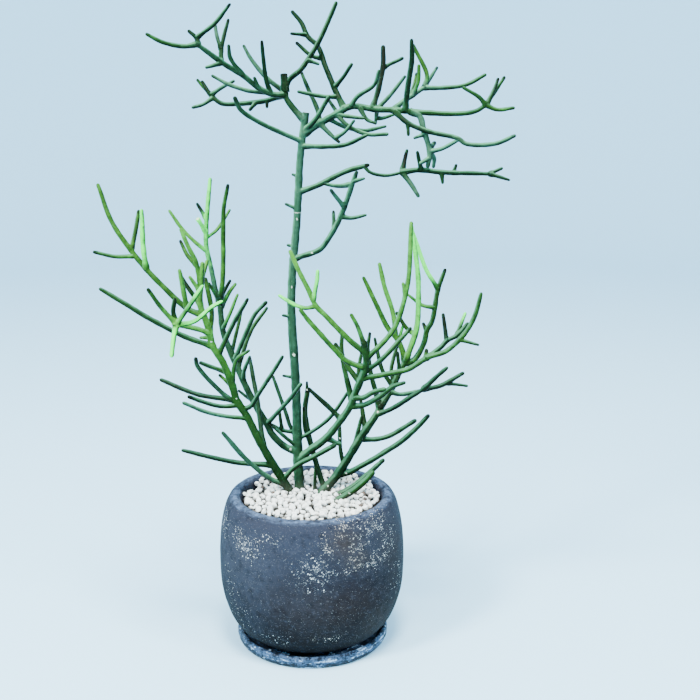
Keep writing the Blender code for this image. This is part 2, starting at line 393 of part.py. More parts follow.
def tube(name, places, spare=0.0):
    """A closed six-sided tube through the places, as a mesh object; spare is added to its radius."""
    curve = bpy.data.curves.new(name, "CURVE")
    curve.dimensions = "3D"
    curve.bevel_depth = MM
    curve.bevel_resolution = 1
    curve.use_fill_caps = True
    spline = curve.splines.new("POLY")
    spline.points.add(len(places) - 1)
    for point, (place, radius) in zip(spline.points, places):
        point.co = (*place, 1.0)
        point.radius = (radius + spare) / MM
    wire = bpy.data.objects.new(name + "_wire", curve)
    bpy.context.scene.collection.objects.link(wire)
    bpy.context.view_layer.update()
    evaluated = wire.evaluated_get(bpy.context.evaluated_depsgraph_get())
    mesh = bpy.data.meshes.new_from_object(evaluated)
    shape = bmesh.new()
    shape.from_mesh(mesh)
    bmesh.ops.remove_doubles(shape, verts=shape.verts, dist=0.01 * MM)
    bmesh.ops.recalc_face_normals(shape, faces=shape.faces)
    shape.to_mesh(mesh)
    shape.free()
    solid = bpy.data.objects.new(name, mesh)
    solid.matrix_world = wire.matrix_world
    bpy.data.objects.remove(wire)
    bpy.data.curves.remove(curve)
    return solid


def boolean_with(solid, others, operation, solver):
    """Applies one Boolean of the solid with all the others at once, and removes the others."""
    group = bpy.data.collections.new(solid.name + "_operands")
    bpy.context.scene.collection.children.link(group)
    for other in others:
        group.objects.link(other)
    modifier = solid.modifiers.new(operation.title(), "BOOLEAN")
    modifier.operation = operation
    modifier.solver = solver
    modifier.operand_type = "COLLECTION"
    modifier.collection = group
    bpy.context.view_layer.update()
    result = bpy.data.meshes.new_from_object(
        solid.evaluated_get(bpy.context.evaluated_depsgraph_get()))
    solid.modifiers.clear()
    solid.data = result
    for other in others:
        bpy.data.objects.remove(other)
    bpy.data.collections.remove(group)


def material(name, color, roughness, metallic=0.0):
    """A plain finish."""
    made = bpy.data.materials.new(name)
    made.use_nodes = True
    shader = made.node_tree.nodes["Principled BSDF"]
    shader.inputs["Base Color"].default_value = (*color, 1.0)
    shader.inputs["Roughness"].default_value = roughness
    shader.inputs["Metallic"].default_value = metallic
    return made


def place_part(solid, collection, finish):
    """Puts a finished sub-part in the plant's collection, with its material."""
    for home in list(solid.users_collection):
        home.objects.unlink(solid)
    collection.objects.link(solid)
    solid.data.materials.clear()
    solid.data.materials.append(finish)


def stem(name, drawn, back, collection, finish):
    """One stem with all its twigs, fused to one solid and standing at the foot's height."""
    paths = [in_space(path) for path in limb_paths(drawn, back)]
    paths[0] = rooted(paths[0], STEM_FOOT)
    tubes = [tube(f"{name}_{number}", places) for number, places in enumerate(paths)]
    solid = tubes[0]
    solid.name = name
    bpy.context.scene.collection.objects.link(solid)
    if len(tubes) > 1:
        boolean_with(solid, tubes[1:], "UNION", "EXACT")
    place_part(solid, collection, finish)
    return solid


def stem_holes():
    """A cutter for each stem's hole: its lowest stretch, a little thicker and deeper."""
    cutters = []
    for name, (drawn, back) in STANDING_STEMS.items():
        places = in_space(lay_out(drawn, back))[:3]
        places = rooted(places, STEM_FOOT - HOLE_GAP)
        cutters.append(tube(name + "_hole", places, HOLE_GAP))
    return cutters


def arc(center, radius, start, end, steps):
    """Points (radius, height) of an arc in the turned section, angles in degrees."""
    points = []
    for step in range(steps + 1):
        angle = math.radians(start + (end - start) * step / steps)
        points.append((center[0] + radius * math.cos(angle), center[1] + radius * math.sin(angle)))
    return points


def turned(name, outline, closed):
    """A round solid: the outline (radius, height), outer side downwards, turned about Z."""
    mesh = bpy.data.meshes.new(name)
    shape = bmesh.new()
    corners = [shape.verts.new((radius, 0.0, height)) for radius, height in outline]
    for start, end in zip(corners, corners[1:]):
        shape.edges.new((start, end))
    if closed:
        shape.edges.new((corners[-1], corners[0]))
    shape.to_mesh(mesh)
    shape.free()
    solid = bpy.data.objects.new(name, mesh)
    bpy.context.scene.collection.objects.link(solid)
    screw = solid.modifiers.new("Turn", "SCREW")
    screw.axis = "Z"
    screw.angle = 2 * math.pi
    screw.steps = TURNED_STEPS
    screw.render_steps = TURNED_STEPS
    screw.use_merge_vertices = True
    screw.merge_threshold = 0.01 * MM
    return solid


def pot_inside(gap=0.0):
    """The pot's inner side from its floor up to the mouth, drawn in and up by a gap."""
    return [(radius * MM - gap, height * MM + gap) for radius, height in POT_INSIDE]


def make_pot():
    """A turned pot with a rounded lip, a thick wall and a drain hole through its floor."""
    foot = SAUCER_FLOOR + SEAT_GAP
    inside = pot_inside()
    crown = arc(POT_LIP_MIDDLE, POT_LIP_ROUND, 90, 20, 3)
    outside = [(radius * MM, height * MM) for radius, height in POT_OUTSIDE]
    bottom = [(POT_FOOT_RADIUS, foot), (DRAIN_RADIUS, foot), (DRAIN_RADIUS, inside[0][1])]
    mouth = arc(POT_LIP_MIDDLE, POT_LIP_ROUND, 180, 120, 2)
    return turned("pot", crown + outside + bottom + inside + mouth, True)


def make_saucer():
    """A shallow turned dish; its floor carries the pot's foot."""
    middle = (SAUCER_RADIUS - SAUCER_EDGE, SAUCER_HEIGHT - SAUCER_EDGE)
    floor = [(0.0, SAUCER_FLOOR), (SAUCER_FLOOR_RADIUS, SAUCER_FLOOR)]
    wall = [(middle[0] - SAUCER_EDGE - MM / 2, middle[1])]
    edge = arc(middle, SAUCER_EDGE, 120, 0, 3)
    out, up = SAUCER_BASE_CHAMFER
    base = [(SAUCER_BASE_RADIUS + out, up), (SAUCER_BASE_RADIUS, 0.0), (0.0, 0.0)]
    return turned("saucer", floor + wall + edge + base, False)


def make_soil():
    """The potting soil: it fills the pot up to the gravel."""
    wall = pot_inside(HOLE_GAP)
    top = GRAVEL_BOTTOM - SEAT_GAP
    wall[-1] = (wall[-1][0], top)
    outline = [(0.0, top)] + wall[::-1] + [(0.0, wall[0][1])]
    return turned("potting_soil", outline, False)


def pebble_height(ring, place, wobble):
    """Every third point of the six-cornered lattice is a pebble's top, the rest lie between."""
    is_top = (ring - place) % 3 == 0
    rise = PEBBLE_RISE if is_top else 0.0
    return GRAVEL_TOP + rise - PEBBLE_RISE / 2 + wobble * PEBBLE_SCATTER


def make_gravel():
    """A disc of pumice gravel, its top raised in pebbles larger than life."""
    wobble = random.Random(7)
    shape = bmesh.new()
    rings = [[shape.verts.new((0.0, 0.0, GRAVEL_TOP))]]
    for ring in range(1, GRAVEL_RINGS + 1):
        radius = GRAVEL_RADIUS * ring / GRAVEL_RINGS
        corners = []
        for place in range(6 * ring):
            at_edge = ring == GRAVEL_RINGS
            stray = 0.0 if at_edge else wobble.uniform(-PEBBLE_STRAY, PEBBLE_STRAY)
            angle = 2 * math.pi * (place + stray) / (6 * ring)
            height = pebble_height(ring, place, wobble.uniform(-1.0, 1.0))
            height = GRAVEL_TOP - PEBBLE_RISE / 2 if at_edge else height
            corners.append(shape.verts.new((radius * math.cos(angle), radius * math.sin(angle), height)))
        rings.append(corners)
    for inner, outer in zip(rings, rings[1:]):
        steps = len(outer) // 6
        for side in range(6):
            for step in range(steps):
                a = outer[side * steps + step]
                b = outer[(side * steps + step + 1) % len(outer)]
                c = inner[(side * (steps - 1) + step) % len(inner)]
                shape.faces.new((a, b, c))
                if step < steps - 1:
                    d = inner[(side * (steps - 1) + step + 1) % len(inner)]
                    shape.faces.new((b, d, c))
    edge = [e for e in shape.edges if e.is_boundary]
    skirt = bmesh.ops.extrude_edge_only(shape, edges=edge)["geom"]
    low = [v for v in skirt if isinstance(v, bmesh.types.BMVert)]
    for corner in low:
        corner.co.z = GRAVEL_BOTTOM
    bmesh.ops.contextual_create(shape, geom=[e for e in shape.edges if e.is_boundary])
    bmesh.ops.recalc_face_normals(shape, faces=shape.faces)
    mesh = bpy.data.meshes.new("pumice_gravel")
    shape.to_mesh(mesh)
    shape.free()
    solid = bpy.data.objects.new("pumice_gravel", mesh)
    bpy.context.scene.collection.objects.link(solid)
    return solid


def smooth_round(solid):
    """Shades a turned piece smooth, with its corners kept."""
    solid.data.shade_smooth()
    solid.data.set_sharp_from_angle(angle=math.radians(40))


def main():
    for old in list(bpy.data.objects):
        bpy.data.objects.remove(old)
    plant = bpy.data.collections.new("potted_pencil_cactus")
    bpy.context.scene.collection.children.link(plant)

    clay = material("pot_stoneware", (0.060, 0.072, 0.095), 0.75)
    dish = material("saucer_stoneware", (0.13, 0.18, 0.26), 0.65)
    soil = material("potting_soil", (0.045, 0.032, 0.022), 0.95)
    pumice = material("pumice", (0.78, 0.76, 0.70), 0.9)
    green = material("tall_green", (0.030, 0.130, 0.075), 0.45)
    lime = material("bush_green", (0.060, 0.230, 0.060), 0.45)

    place_part(make_saucer(), plant, dish)
    place_part(make_pot(), plant, clay)
    for filling, finish in ((make_soil(), soil), (make_gravel(), pumice)):
        boolean_with(filling, stem_holes(), "DIFFERENCE", "EXACT")
        place_part(filling, plant, finish)
    for name, (drawn, back) in STANDING_STEMS.items():
        stem(name, drawn, back, plant, green if name == "tall_stem" else lime)
    for round_piece in ("saucer", "pot"):
        smooth_round(bpy.data.objects[round_piece])


main()
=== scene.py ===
# %% [markdown]
# # A pencil cactus in a stoneware pot
# This lesson dresses a imported model of a potted pencil cactus. The model's solids are plain: each
# stem is a bundle of six-sided tubes and the gravel is one bumpy disc. Here every one of them gets
# the surface that the real thing has, without leaving the place that the solid holds.
# The frame is loaded first, because every later piece is set by it.

# %% The imported model as the frame
import json
import math
import random

import bmesh
import bpy
import numpy as np
from mathutils import Matrix, Quaternion, Vector, kdtree, noise

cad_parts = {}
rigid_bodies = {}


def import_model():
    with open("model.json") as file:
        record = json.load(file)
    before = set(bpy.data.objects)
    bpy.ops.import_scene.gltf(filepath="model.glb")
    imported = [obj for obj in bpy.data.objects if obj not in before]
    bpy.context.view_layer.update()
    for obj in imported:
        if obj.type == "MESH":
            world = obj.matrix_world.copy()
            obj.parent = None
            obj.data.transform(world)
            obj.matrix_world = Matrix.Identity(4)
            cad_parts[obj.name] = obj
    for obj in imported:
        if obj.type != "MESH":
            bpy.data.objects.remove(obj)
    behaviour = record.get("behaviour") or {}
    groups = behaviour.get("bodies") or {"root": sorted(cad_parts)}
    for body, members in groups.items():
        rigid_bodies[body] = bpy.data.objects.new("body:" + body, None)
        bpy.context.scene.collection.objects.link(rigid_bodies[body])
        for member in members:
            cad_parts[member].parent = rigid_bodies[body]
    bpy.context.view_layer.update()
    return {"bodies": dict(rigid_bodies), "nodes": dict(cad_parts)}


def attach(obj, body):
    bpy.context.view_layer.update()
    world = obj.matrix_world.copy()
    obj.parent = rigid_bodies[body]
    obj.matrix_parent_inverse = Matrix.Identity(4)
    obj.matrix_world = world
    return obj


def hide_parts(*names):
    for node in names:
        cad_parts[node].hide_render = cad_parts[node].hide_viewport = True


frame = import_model()
body = list(frame["bodies"])[0]

CM = 0.01
MM = 0.001
print("solids:", sorted(frame["nodes"]), "on", body)

# %% [markdown]
# ## The studio
# The plant stands on a plain pale floor that runs up into a wall with no corner, as in a
# photographer's cove. A cove that is open on one side would hide the plant from behind, so this
# one is a round bowl, much larger than the plant, turned from one profile. Its faces point inwards.

# %% The floor and wall, one turned bowl
FLOOR_RINGS = (0.0, 0.6, 1.6)
FLOOR_RADIUS = 3.2
COVE_ROUND, COVE_STEPS = 1.6, 16
WALL_TOP = 5.0
TURN_STEPS = 96
MERGE_WITHIN = 0.001 * MM


def turn(shape, profile, steps):
    """Turns a profile of (radius, height) about Z with a full spin, and returns the new faces."""
    corners = [shape.verts.new((radius, 0.0, height)) for radius, height in profile]
    edges = [shape.edges.new(pair) for pair in zip(corners, corners[1:])]
    bmesh.ops.spin(shape, geom=corners + edges, cent=(0, 0, 0), axis=(0, 0, 1),
                   angle=2 * math.pi, steps=steps, use_merge=True)
    bmesh.ops.remove_doubles(shape, verts=shape.verts, dist=MERGE_WITHIN)
    return list(shape.faces)


def arc(middle, radius, start, end, steps):
    """Points (radius, height) of an arc in a profile, its angles in degrees."""
    turns = [math.radians(start + (end - start) * step / steps) for step in range(steps + 1)]
    return [(middle[0] + radius * math.cos(a), middle[1] + radius * math.sin(a)) for a in turns]


def piece_from(shape, name, smooth_below=60.0):
    """A mesh object at the origin from a finished bmesh, shaded smooth except at sharp corners."""
    mesh = bpy.data.meshes.new(name)
    shape.to_mesh(mesh)
    shape.free()
    mesh.shade_smooth()
    mesh.set_sharp_from_angle(angle=math.radians(smooth_below))
    piece = bpy.data.objects.new(name, mesh)
    bpy.context.scene.collection.objects.link(piece)
    return piece


bowl = bmesh.new()
flat = [(radius, 0.0) for radius in FLOOR_RINGS]
cove = arc((FLOOR_RADIUS, COVE_ROUND), COVE_ROUND, -90, 0, COVE_STEPS)
turn(bowl, flat + cove + [(FLOOR_RADIUS + COVE_ROUND, WALL_TOP)], TURN_STEPS)
bmesh.ops.recalc_face_normals(bowl, faces=bowl.faces)
if bowl.faces[0].normal.z < 0:
    bmesh.ops.reverse_faces(bowl, faces=bowl.faces)
floor = piece_from(bowl, "studio_bowl")
print("studio bowl:", len(floor.data.polygons), "faces")

# %% [markdown]
# ## The camera
# The camera stands 1.3 m in front of the pot and 0.7 m above the floor, tilted down by 13.5
# degrees. Its height, tilt and lens were found by fitting the ellipses of the pot's mouth and of
# the saucer.

# %% The camera, its place in centimetres
EYE = Vector((4.95, -132.5, 70.4))
LOOK_DOWN = math.radians(13.49)
LENS, SENSOR_WIDTH = 56.1, 36.0
NEAREST, FARTHEST = 0.05, 50.0

view = bpy.data.cameras.new("view")
view.lens = LENS
view.sensor_width = SENSOR_WIDTH
view.clip_start = NEAREST
view.clip_end = FARTHEST
camera = bpy.data.objects.new("view", view)
camera.location = EYE * CM
camera.rotation_euler = (math.pi / 2 - LOOK_DOWN, 0.0, 0.0)
bpy.context.scene.collection.objects.link(camera)
bpy.context.scene.camera = camera
print("camera at", tuple(round(c, 3) for c in camera.location), "m")

# %% [markdown]
# ## The light
# Two large soft lamps stand in front, the stronger one on the left, so that every round stem has a
# bright left side and a deep green right side, and the skin's finish paints the same highlight and
# shade on as well. A third one overhead lights the pumice and the lip of the pot, and a pale sky
# fills the shadows.

# %% Three soft lamps and a pale sky
LAMPS = {
    "left_lamp": {"at": (-1.9, -1.75, 2.4), "aim": (0.0, 0.0, 0.40), "size": 0.7, "watts": 220.0},
    "right_lamp": {"at": (2.1, -1.5, 2.1), "aim": (0.0, 0.0, 0.35), "size": 0.7, "watts": 76.0},
    "top_lamp": {"at": (0.1, -1.0, 3.2), "aim": (0.0, 0.0, 0.30), "size": 0.8, "watts": 190.0},
}
SKY_COLOR = (0.72, 0.88, 1.0)
SKY_STRENGTH = 1.6

for name, lamp in LAMPS.items():
    light = bpy.data.lights.new(name, "AREA")
    light.shape = "DISK"
    light.size = lamp["size"]
    light.energy = lamp["watts"]
    holder = bpy.data.objects.new(name, light)
    holder.location = lamp["at"]
    toward = Vector(lamp["aim"]) - Vector(lamp["at"])
    holder.rotation_euler = toward.to_track_quat("-Z", "Y").to_euler()
    bpy.context.scene.collection.objects.link(holder)

sky = bpy.data.worlds.new("pale_sky")
sky.use_nodes = True
backdrop = sky.node_tree.nodes["Background"]
backdrop.inputs["Color"].default_value = (*SKY_COLOR, 1.0)
backdrop.inputs["Strength"].default_value = SKY_STRENGTH
bpy.context.scene.world = sky
print("lamps:", {name: lamp["watts"] for name, lamp in LAMPS.items()})

# %% [markdown]
# ## Writing a finish as sums
# A finish is a tree of nodes, but it reads better as sums. Value wraps one output socket, and
# Python's operators on it add Math nodes. Finish wraps a material, and its method node adds any
# other node: first the settings, then what its sockets are fed with. Its other methods are short
# names for what every finish needs.

# %% Value, for the sums
class Value:
    """One output socket; sums with it add Math nodes."""

    def __init__(self, finish, socket):
        self.finish = finish
        self.socket = socket

    def math(self, operation, first, second):
        """A Math node over two values or numbers."""
        return self.finish.node("ShaderNodeMath", {"operation": operation}, {0: first, 1: second})

    def __add__(self, other):
        return self.math("ADD", self, other)

    def __radd__(self, other):
        return self.math("ADD", other, self)

    def __sub__(self, other):
        return self.math("SUBTRACT", self, other)

    def __rsub__(self, other):
        return self.math("SUBTRACT", other, self)

    def __mul__(self, other):
        return self.math("MULTIPLY", self, other)

    def __rmul__(self, other):
        return self.math("MULTIPLY", other, self)

    def sibling(self, output):
        """Another output of the same node."""
        return Value(self.finish, self.socket.node.outputs[output])

    def within(self, low, high):
        """0 below low, 1 above high, and a soft step between them."""
        settings = {"interpolation_type": "SMOOTHSTEP"}
        return self.finish.node("ShaderNodeMapRange", settings,
                                {"Value": self, "From Min": low, "From Max": high})


print("ready:", Value.__name__)

# %% Finish, for the materials
class Finish:
    """A material in the making, over its Principled shader."""

    def __init__(self, name, roughness, shine=0.5):
        self.material = bpy.data.materials.new(name)
        self.material.use_nodes = True
        self.tree = self.material.node_tree
        self.shader = self.tree.nodes["Principled BSDF"]
        self.shader.inputs["Roughness"].default_value = roughness
        self.shader.inputs["Specular IOR Level"].default_value = shine

    def feed(self, socket, value):
        """Links a socket to a Value, or sets it to a number or a colour."""
        if isinstance(value, Value):
            self.tree.links.new(value.socket, socket)
        elif socket.type == "RGBA":
            socket.default_value = (*value, 1.0)
        else:
            socket.default_value = value

    def shade(self, socket, value):
        """Feeds one of the shader's own sockets."""
        self.feed(self.shader.inputs[socket], value)

    def node(self, kind, settings=None, inputs=None, output=0):
        """Any node: its settings first, a ramp's stops among them, then its sockets."""
        added = self.tree.nodes.new(kind)
        for name, value in (settings or {}).items():
            if name != "stops":
                setattr(added, name, value)
                continue
            stops = added.color_ramp.elements
            while len(stops) < len(value):
                stops.new(0.5)
            for stop, (place, color) in zip(stops, value):
                stop.position = place
                stop.color = (*color, 1.0)
        for name, value in (inputs or {}).items():
            self.feed(added.inputs[name], value)
        return Value(self, added.outputs[output])

    def blend(self, below, above, amount):
        """Colour below, with colour above over it by amount."""
        settings = {"data_type": "RGBA"}
        return self.node("ShaderNodeMix", settings, {0: amount, 6: below, 7: above}, output=2)

    def place(self):
        """Where a point is, in metres, as its object counts."""
        return self.node("ShaderNodeTexCoord", output="Object")

    def up(self):
        """How high a point is, in metres."""
        return self.node("ShaderNodeSeparateXYZ", inputs={0: self.place()}, output="Z")

    def squeezed(self, factors):
        """Coordinates in which lumps come out the longer, the smaller a direction's factor is."""
        return self.node("ShaderNodeVectorMath", {"operation": "MULTIPLY"},
                         {0: self.place(), 1: factors})

    def grain(self, size, detail=2.0, place=None):
        """Soft noise whose lumps are about size metres across."""
        inputs = {"Vector": place or self.place(), "Scale": 1.0 / size, "Detail": detail}
        return self.node("ShaderNodeTexNoise", inputs=inputs)

    def cells(self, size, place=None):
        """How far a point is from the middle of its cell, in cells of about size metres."""
        inputs = {"Vector": place or self.place(), "Scale": 1.0 / size, "Randomness": 1.0}
        return self.node("ShaderNodeTexVoronoi", inputs=inputs, output="Distance")

    def stored(self, name):
        """A number that the piece's own points carry."""
        return self.node("ShaderNodeAttribute", {"attribute_name": name}, output="Fac")

    def height(self, value, depth):
        """Raises the surface by value times depth metres, in the shading alone."""
        bump = self.node("ShaderNodeBump", inputs={"Height": value, "Distance": depth,
                                                   "Strength": 1.0})
        self.shade("Normal", bump)

    def wear(self, *pieces):
        """Puts the finish on pieces as their only one."""
        for piece in pieces:
            piece.data.materials.clear()
            piece.data.materials.append(self.material)


print("ready:", Finish.__name__)

# %% [markdown]
# ## Paper for the studio
# A photographer's backdrop is a roll of matt paper, so the bowl is one plain pale blue and quite
# rough. It needs no texture, because nothing on it is near the camera.

# %% The bowl's paper
PAPER_BLUE = (0.49, 0.80, 0.95)

paper = Finish("studio_paper", roughness=0.9)
paper.shade("Base Color", PAPER_BLUE)
paper.wear(floor)
print("the bowl wears", floor.data.materials[0].name)

# %% [markdown]
# ## How the plant is drawn
# A pencil cactus has no leaves to speak of: it is a tree of round green twigs, each springing from
# an older one. Loose tubes or a tree generator would give some bush, but not this one, so every
# limb is drawn as it is seen from the camera, in centimetres to the right and up, with its
# thickness and how far back its tip lies. Each limb holds the limbs that spring from it.

# %% A limb, and the tones that it can have
TONES = {"old": (0.0, 0.0, 0.0), "night": (0.0, 0.0, 0.4), "dark": (0.0, 0.0, 1.0),
         "teal": (0.12, 0.30, 0.0), "sage": (0.15, 0.55, 0.0), "wax": (0.15, 0.80, 0.0),
         "moss": (0.30, 0.0, 0.0), "leaf": (0.50, 0.0, 0.0), "grass": (0.65, 0.0, 0.0),
         "lime": (1.0, 0.05, 0.0), "mint": (0.95, 0.90, 0.0)}
DEPTH_SPREAD = 1.35


def limb(wide, narrow, back, points, *branches, tone=None, cut=False):
    """A limb as drawn from the front.

    wide and narrow are its thickness in millimetres at its root and its tip, back is how much
    further back than its root its tip lies, before DEPTH_SPREAD, and points are (x, z) in
    centimetres, root first. The branches start on it, at the place nearest to their own first
    point. tone is its colour, or that of its root and its tip, and with none it takes its
    parent's. A cut limb ends flat.
    """
    return {"wide": wide, "narrow": narrow, "back": back, "points": points, "branches": branches,
            "tone": tone, "cut": cut}


def count_limbs(drawn):
    """How many limbs there are in a limb, itself among them."""
    return 1 + sum(count_limbs(branch) for branch in drawn["branches"])


print("tones:", ", ".join(TONES))

# %% [markdown]
# ## The crown
# The tall stem was cut at its top, so it forks into a left and a right limb under the cut, and each
# of them spreads in a flat fan of blue-green twigs.

# %% The left of the crown
CROWN_UPPER_LEFT = limb(
    7.2, 5.9, 1.0, [(-0.5, 66.6), (-1.7, 68.0), (-2.6, 69.3), (-2.75, 70.3)],
    limb(7.7, 7.7, 0.3, [(-2.75, 70.0), (-2.85, 72.0)], tone="night", cut=True),
    limb(5.9, 5.1, -5.0, [(-2.7, 69.6), (-4.2, 69.7), (-6.2, 70.7), (-7.7, 71.9), (-10.2, 73.4),
                          (-12.95, 75.4)],
         limb(4.8, 3.8, -2.0, [(-12.9, 75.35), (-14.5, 75.2), (-16.9, 75.6), (-18.7, 76.5)],
              tone=("teal", "leaf")),
         limb(4.8, 4.2, 0.8, [(-12.9, 75.3), (-13.0, 76.1), (-13.8, 76.85)],
              limb(4.6, 3.8, -1.2, [(-13.0, 76.1), (-10.75, 77.85), (-9.05, 79.8)], tone="teal"),
              tone="old"),
         limb(4.8, 3.8, 2.8, [(-10.2, 73.4), (-10.1, 75.0), (-9.25, 78.1)],
              limb(4.1, 3.4, 1.2, [(-10.1, 74.8), (-10.6, 76.3), (-10.8, 77.8)], tone="sage"),
              tone="old"),
         limb(4.5, 3.8, -1.2, [(-10.0, 73.3), (-11.9, 72.8)], tone="sage"),
         limb(4.8, 4.0, -2.6, [(-7.7, 71.9), (-9.1, 73.9), (-9.25, 75.2)]),
         limb(4.5, 3.8, 2.4, [(-4.8, 70.0), (-7.0, 70.1), (-9.0, 70.7), (-11.2, 71.8)],
              tone="sage"),
         limb(4.8, 4.2, -1.6, [(-4.3, 69.8), (-4.95, 71.4), (-5.35, 75.65)],
              tone="old"),
         limb(4.1, 3.4, -1.2, [(-5.0, 70.1), (-5.75, 70.4), (-6.3, 71.5)]), tone="teal"),
    limb(5.1, 4.0, 4.2, [(-2.75, 69.9), (-4.55, 71.3), (-6.55, 73.55), (-7.45, 75.2)],
         tone="sage"),
    limb(5.5, 4.8, 4.6, [(-2.75, 69.6), (-4.9, 69.0), (-8.3, 68.6), (-10.3, 68.65), (-11.5, 69.6),
                         (-12.45, 71.1)],
         limb(4.1, 3.4, 1.6, [(-11.6, 69.8), (-12.3, 70.5), (-13.0, 71.3)], tone="leaf"),
         limb(4.3, 3.8, -1.6, [(-11.4, 69.6), (-10.0, 70.6), (-8.8, 71.2)], tone="sage"),
         limb(4.3, 3.8, -1.2, [(-11.2, 69.3), (-12.4, 68.55), (-13.6, 68.2)], tone="sage"),
         limb(4.1, 3.8, -0.4, [(-4.9, 69.0), (-4.9, 68.3)]),
         limb(4.1, 3.6, -0.8, [(-6.3, 68.8), (-6.9, 68.0)]), tone="old"),
    limb(5.9, 4.6, 1.2, [(-2.75, 70.3), (-2.2, 71.4), (-0.8, 72.6), (0.3, 74.1), (1.6, 76.3),
                         (3.3, 79.95)],
         limb(4.1, 3.4, -1.2, [(0.0, 73.6), (1.2, 73.2)], tone="sage"), tone=("night", "old")),
    tone=("teal", "old"))

print("drawn:", count_limbs(CROWN_UPPER_LEFT), "limbs on the left")

# %% The right of the crown
CENTRAL_LIMB = limb(
    6.4, 4.6, 6.2, [(4.2, 68.0), (3.4, 69.8), (2.0, 73.0), (1.2, 75.2), (0.0, 76.3), (-0.7, 77.8),
                    (-1.7, 79.0)],
    limb(4.1, 3.8, -1.2, [(-0.1, 76.5), (-1.85, 76.6)], tone="old"),
    limb(4.5, 3.8, 1.6, [(1.7, 73.8), (0.5, 74.1), (-1.25, 75.5)]),
    limb(4.5, 3.8, -1.8, [(3.1, 70.5), (4.2, 71.7), (5.1, 73.05)], tone="night"),
    limb(4.5, 3.8, -1.2, [(3.5, 69.5), (2.0, 69.45), (-1.1, 70.0)], tone="teal"), tone="old")

PALE_LIMB = limb(
    5.5, 4.8, 2.6, [(10.1, 67.85), (11.3, 68.9), (12.3, 69.55), (13.8, 70.6)],
    limb(4.8, 3.8, 1.2, [(13.8, 70.55), (14.0, 72.0), (12.4, 75.2)], tone="leaf"),
    limb(4.5, 3.8, 2.0, [(13.7, 70.5), (15.15, 72.7)], tone="wax"),
    limb(4.8, 3.8, -0.8, [(13.7, 70.5), (15.5, 70.45), (18.5, 70.75), (20.8, 71.9)],
         tone=("sage", "moss")),
    limb(4.1, 3.8, 1.4, [(12.1, 69.5), (12.6, 71.0), (12.8, 72.0)], tone="leaf"),
    limb(4.1, 3.8, -1.0, [(12.5, 69.7), (13.0, 71.3), (13.05, 72.9)], tone="grass"), tone="wax")

HANGING_LIMB = limb(
    6.4, 5.1, -1.8, [(12.0, 67.75), (13.2, 67.2), (13.7, 65.6), (14.5, 63.0), (14.3, 61.4)],
    limb(4.1, 3.8, -0.8, [(13.8, 65.0), (12.7, 64.65)]),
    limb(5.0, 4.6, 0.8, [(14.3, 63.4), (15.0, 64.0)]),
    limb(4.5, 3.8, -1.4, [(14.5, 63.0), (16.0, 63.4), (17.9, 64.4)]),
    limb(4.6, 4.1, 1.2, [(14.4, 63.0), (15.0, 62.3), (14.95, 61.3)]),
    limb(4.1, 3.8, -0.8, [(14.4, 62.3), (13.5, 61.7)]), tone="wax")

LONG_LIMB = limb(
    5.5, 4.0, -5.5, [(10.1, 67.85), (11.8, 66.4), (13.9, 65.5), (17.8, 64.6), (18.8, 63.95),
                     (22.4, 64.0), (24.5, 64.85)],
    limb(4.1, 3.4, -0.3, [(11.9, 66.4), (11.9, 65.1)]), tone=("old", "sage"))

CROWN_RIGHT = limb(
    7.4, 4.5, -3.0, [(-0.7, 65.1), (2.0, 66.7), (3.5, 67.5), (5.0, 68.3), (8.0, 68.0), (11.5, 67.8),
                     (17.0, 67.45), (19.9, 67.8), (21.2, 68.6)],
    limb(4.5, 3.4, 1.2, [(21.2, 68.5), (22.0, 70.3), (22.4, 71.4)], tone="old"),
    limb(4.1, 3.4, 2.2, [(21.1, 68.5), (21.9, 69.7), (23.1, 71.6)], tone="moss"),
    limb(4.5, 3.4, -1.0, [(21.1, 68.5), (22.4, 67.95), (24.3, 68.15)], tone="leaf"),
    limb(4.5, 3.4, -0.8, [(21.0, 68.4), (20.2, 69.4), (18.4, 70.45)]),
    limb(5.1, 4.0, 3.8, [(1.4, 66.4), (1.0, 68.2), (0.0, 70.4), (-0.75, 72.2)], tone="teal"),
    limb(4.1, 3.4, 1.8, [(3.4, 67.5), (2.5, 69.0)]),
    CENTRAL_LIMB,
    limb(4.5, 3.8, -3.4, [(4.9, 68.3), (5.8, 69.4), (7.8, 70.8), (8.3, 72.3)], tone="teal"),
    limb(5.7, 5.1, 2.2, [(7.6, 68.05), (8.3, 70.2), (8.85, 73.0), (8.85, 75.0)],
         limb(4.3, 3.8, 1.6, [(8.8, 72.6), (9.5, 73.1), (11.05, 73.8)], tone="old"),
         tone=("night", "dark")),
    limb(4.5, 3.8, 4.4, [(8.2, 68.0), (9.7, 69.6), (11.4, 71.7)], tone="sage"),
    limb(5.7, 5.1, -1.8, [(11.5, 67.9), (11.7, 70.0), (12.2, 73.5), (12.15, 75.8)],
         tone="night"),
    PALE_LIMB,
    limb(4.8, 4.2, -1.4, [(1.4, 66.4), (2.5, 65.2), (3.6, 64.2)],
         limb(4.1, 3.4, -1.2, [(3.2, 64.6), (4.3, 65.3), (5.4, 66.6)])),
    limb(4.8, 3.8, -3.4, [(3.4, 67.4), (4.5, 66.2), (6.8, 65.1), (9.3, 65.1)]),
    limb(4.5, 3.8, 2.6, [(2.3, 66.9), (4.4, 65.9), (6.7, 65.5), (9.1, 66.0)]),
    limb(4.5, 3.8, -1.6, [(3.2, 67.3), (6.5, 66.95)]),
    limb(4.5, 3.8, -1.4, [(6.1, 68.2), (7.0, 66.8), (7.9, 66.4)]),
    limb(4.1, 3.6, 1.4, [(8.1, 68.0), (8.0, 66.4)],
         limb(4.1, 3.4, 1.2, [(8.05, 66.9), (8.8, 66.95), (10.3, 67.4)])),
    HANGING_LIMB,
    LONG_LIMB, tone=("sage", "moss"))

print("drawn:", count_limbs(CROWN_RIGHT), "limbs on the right")

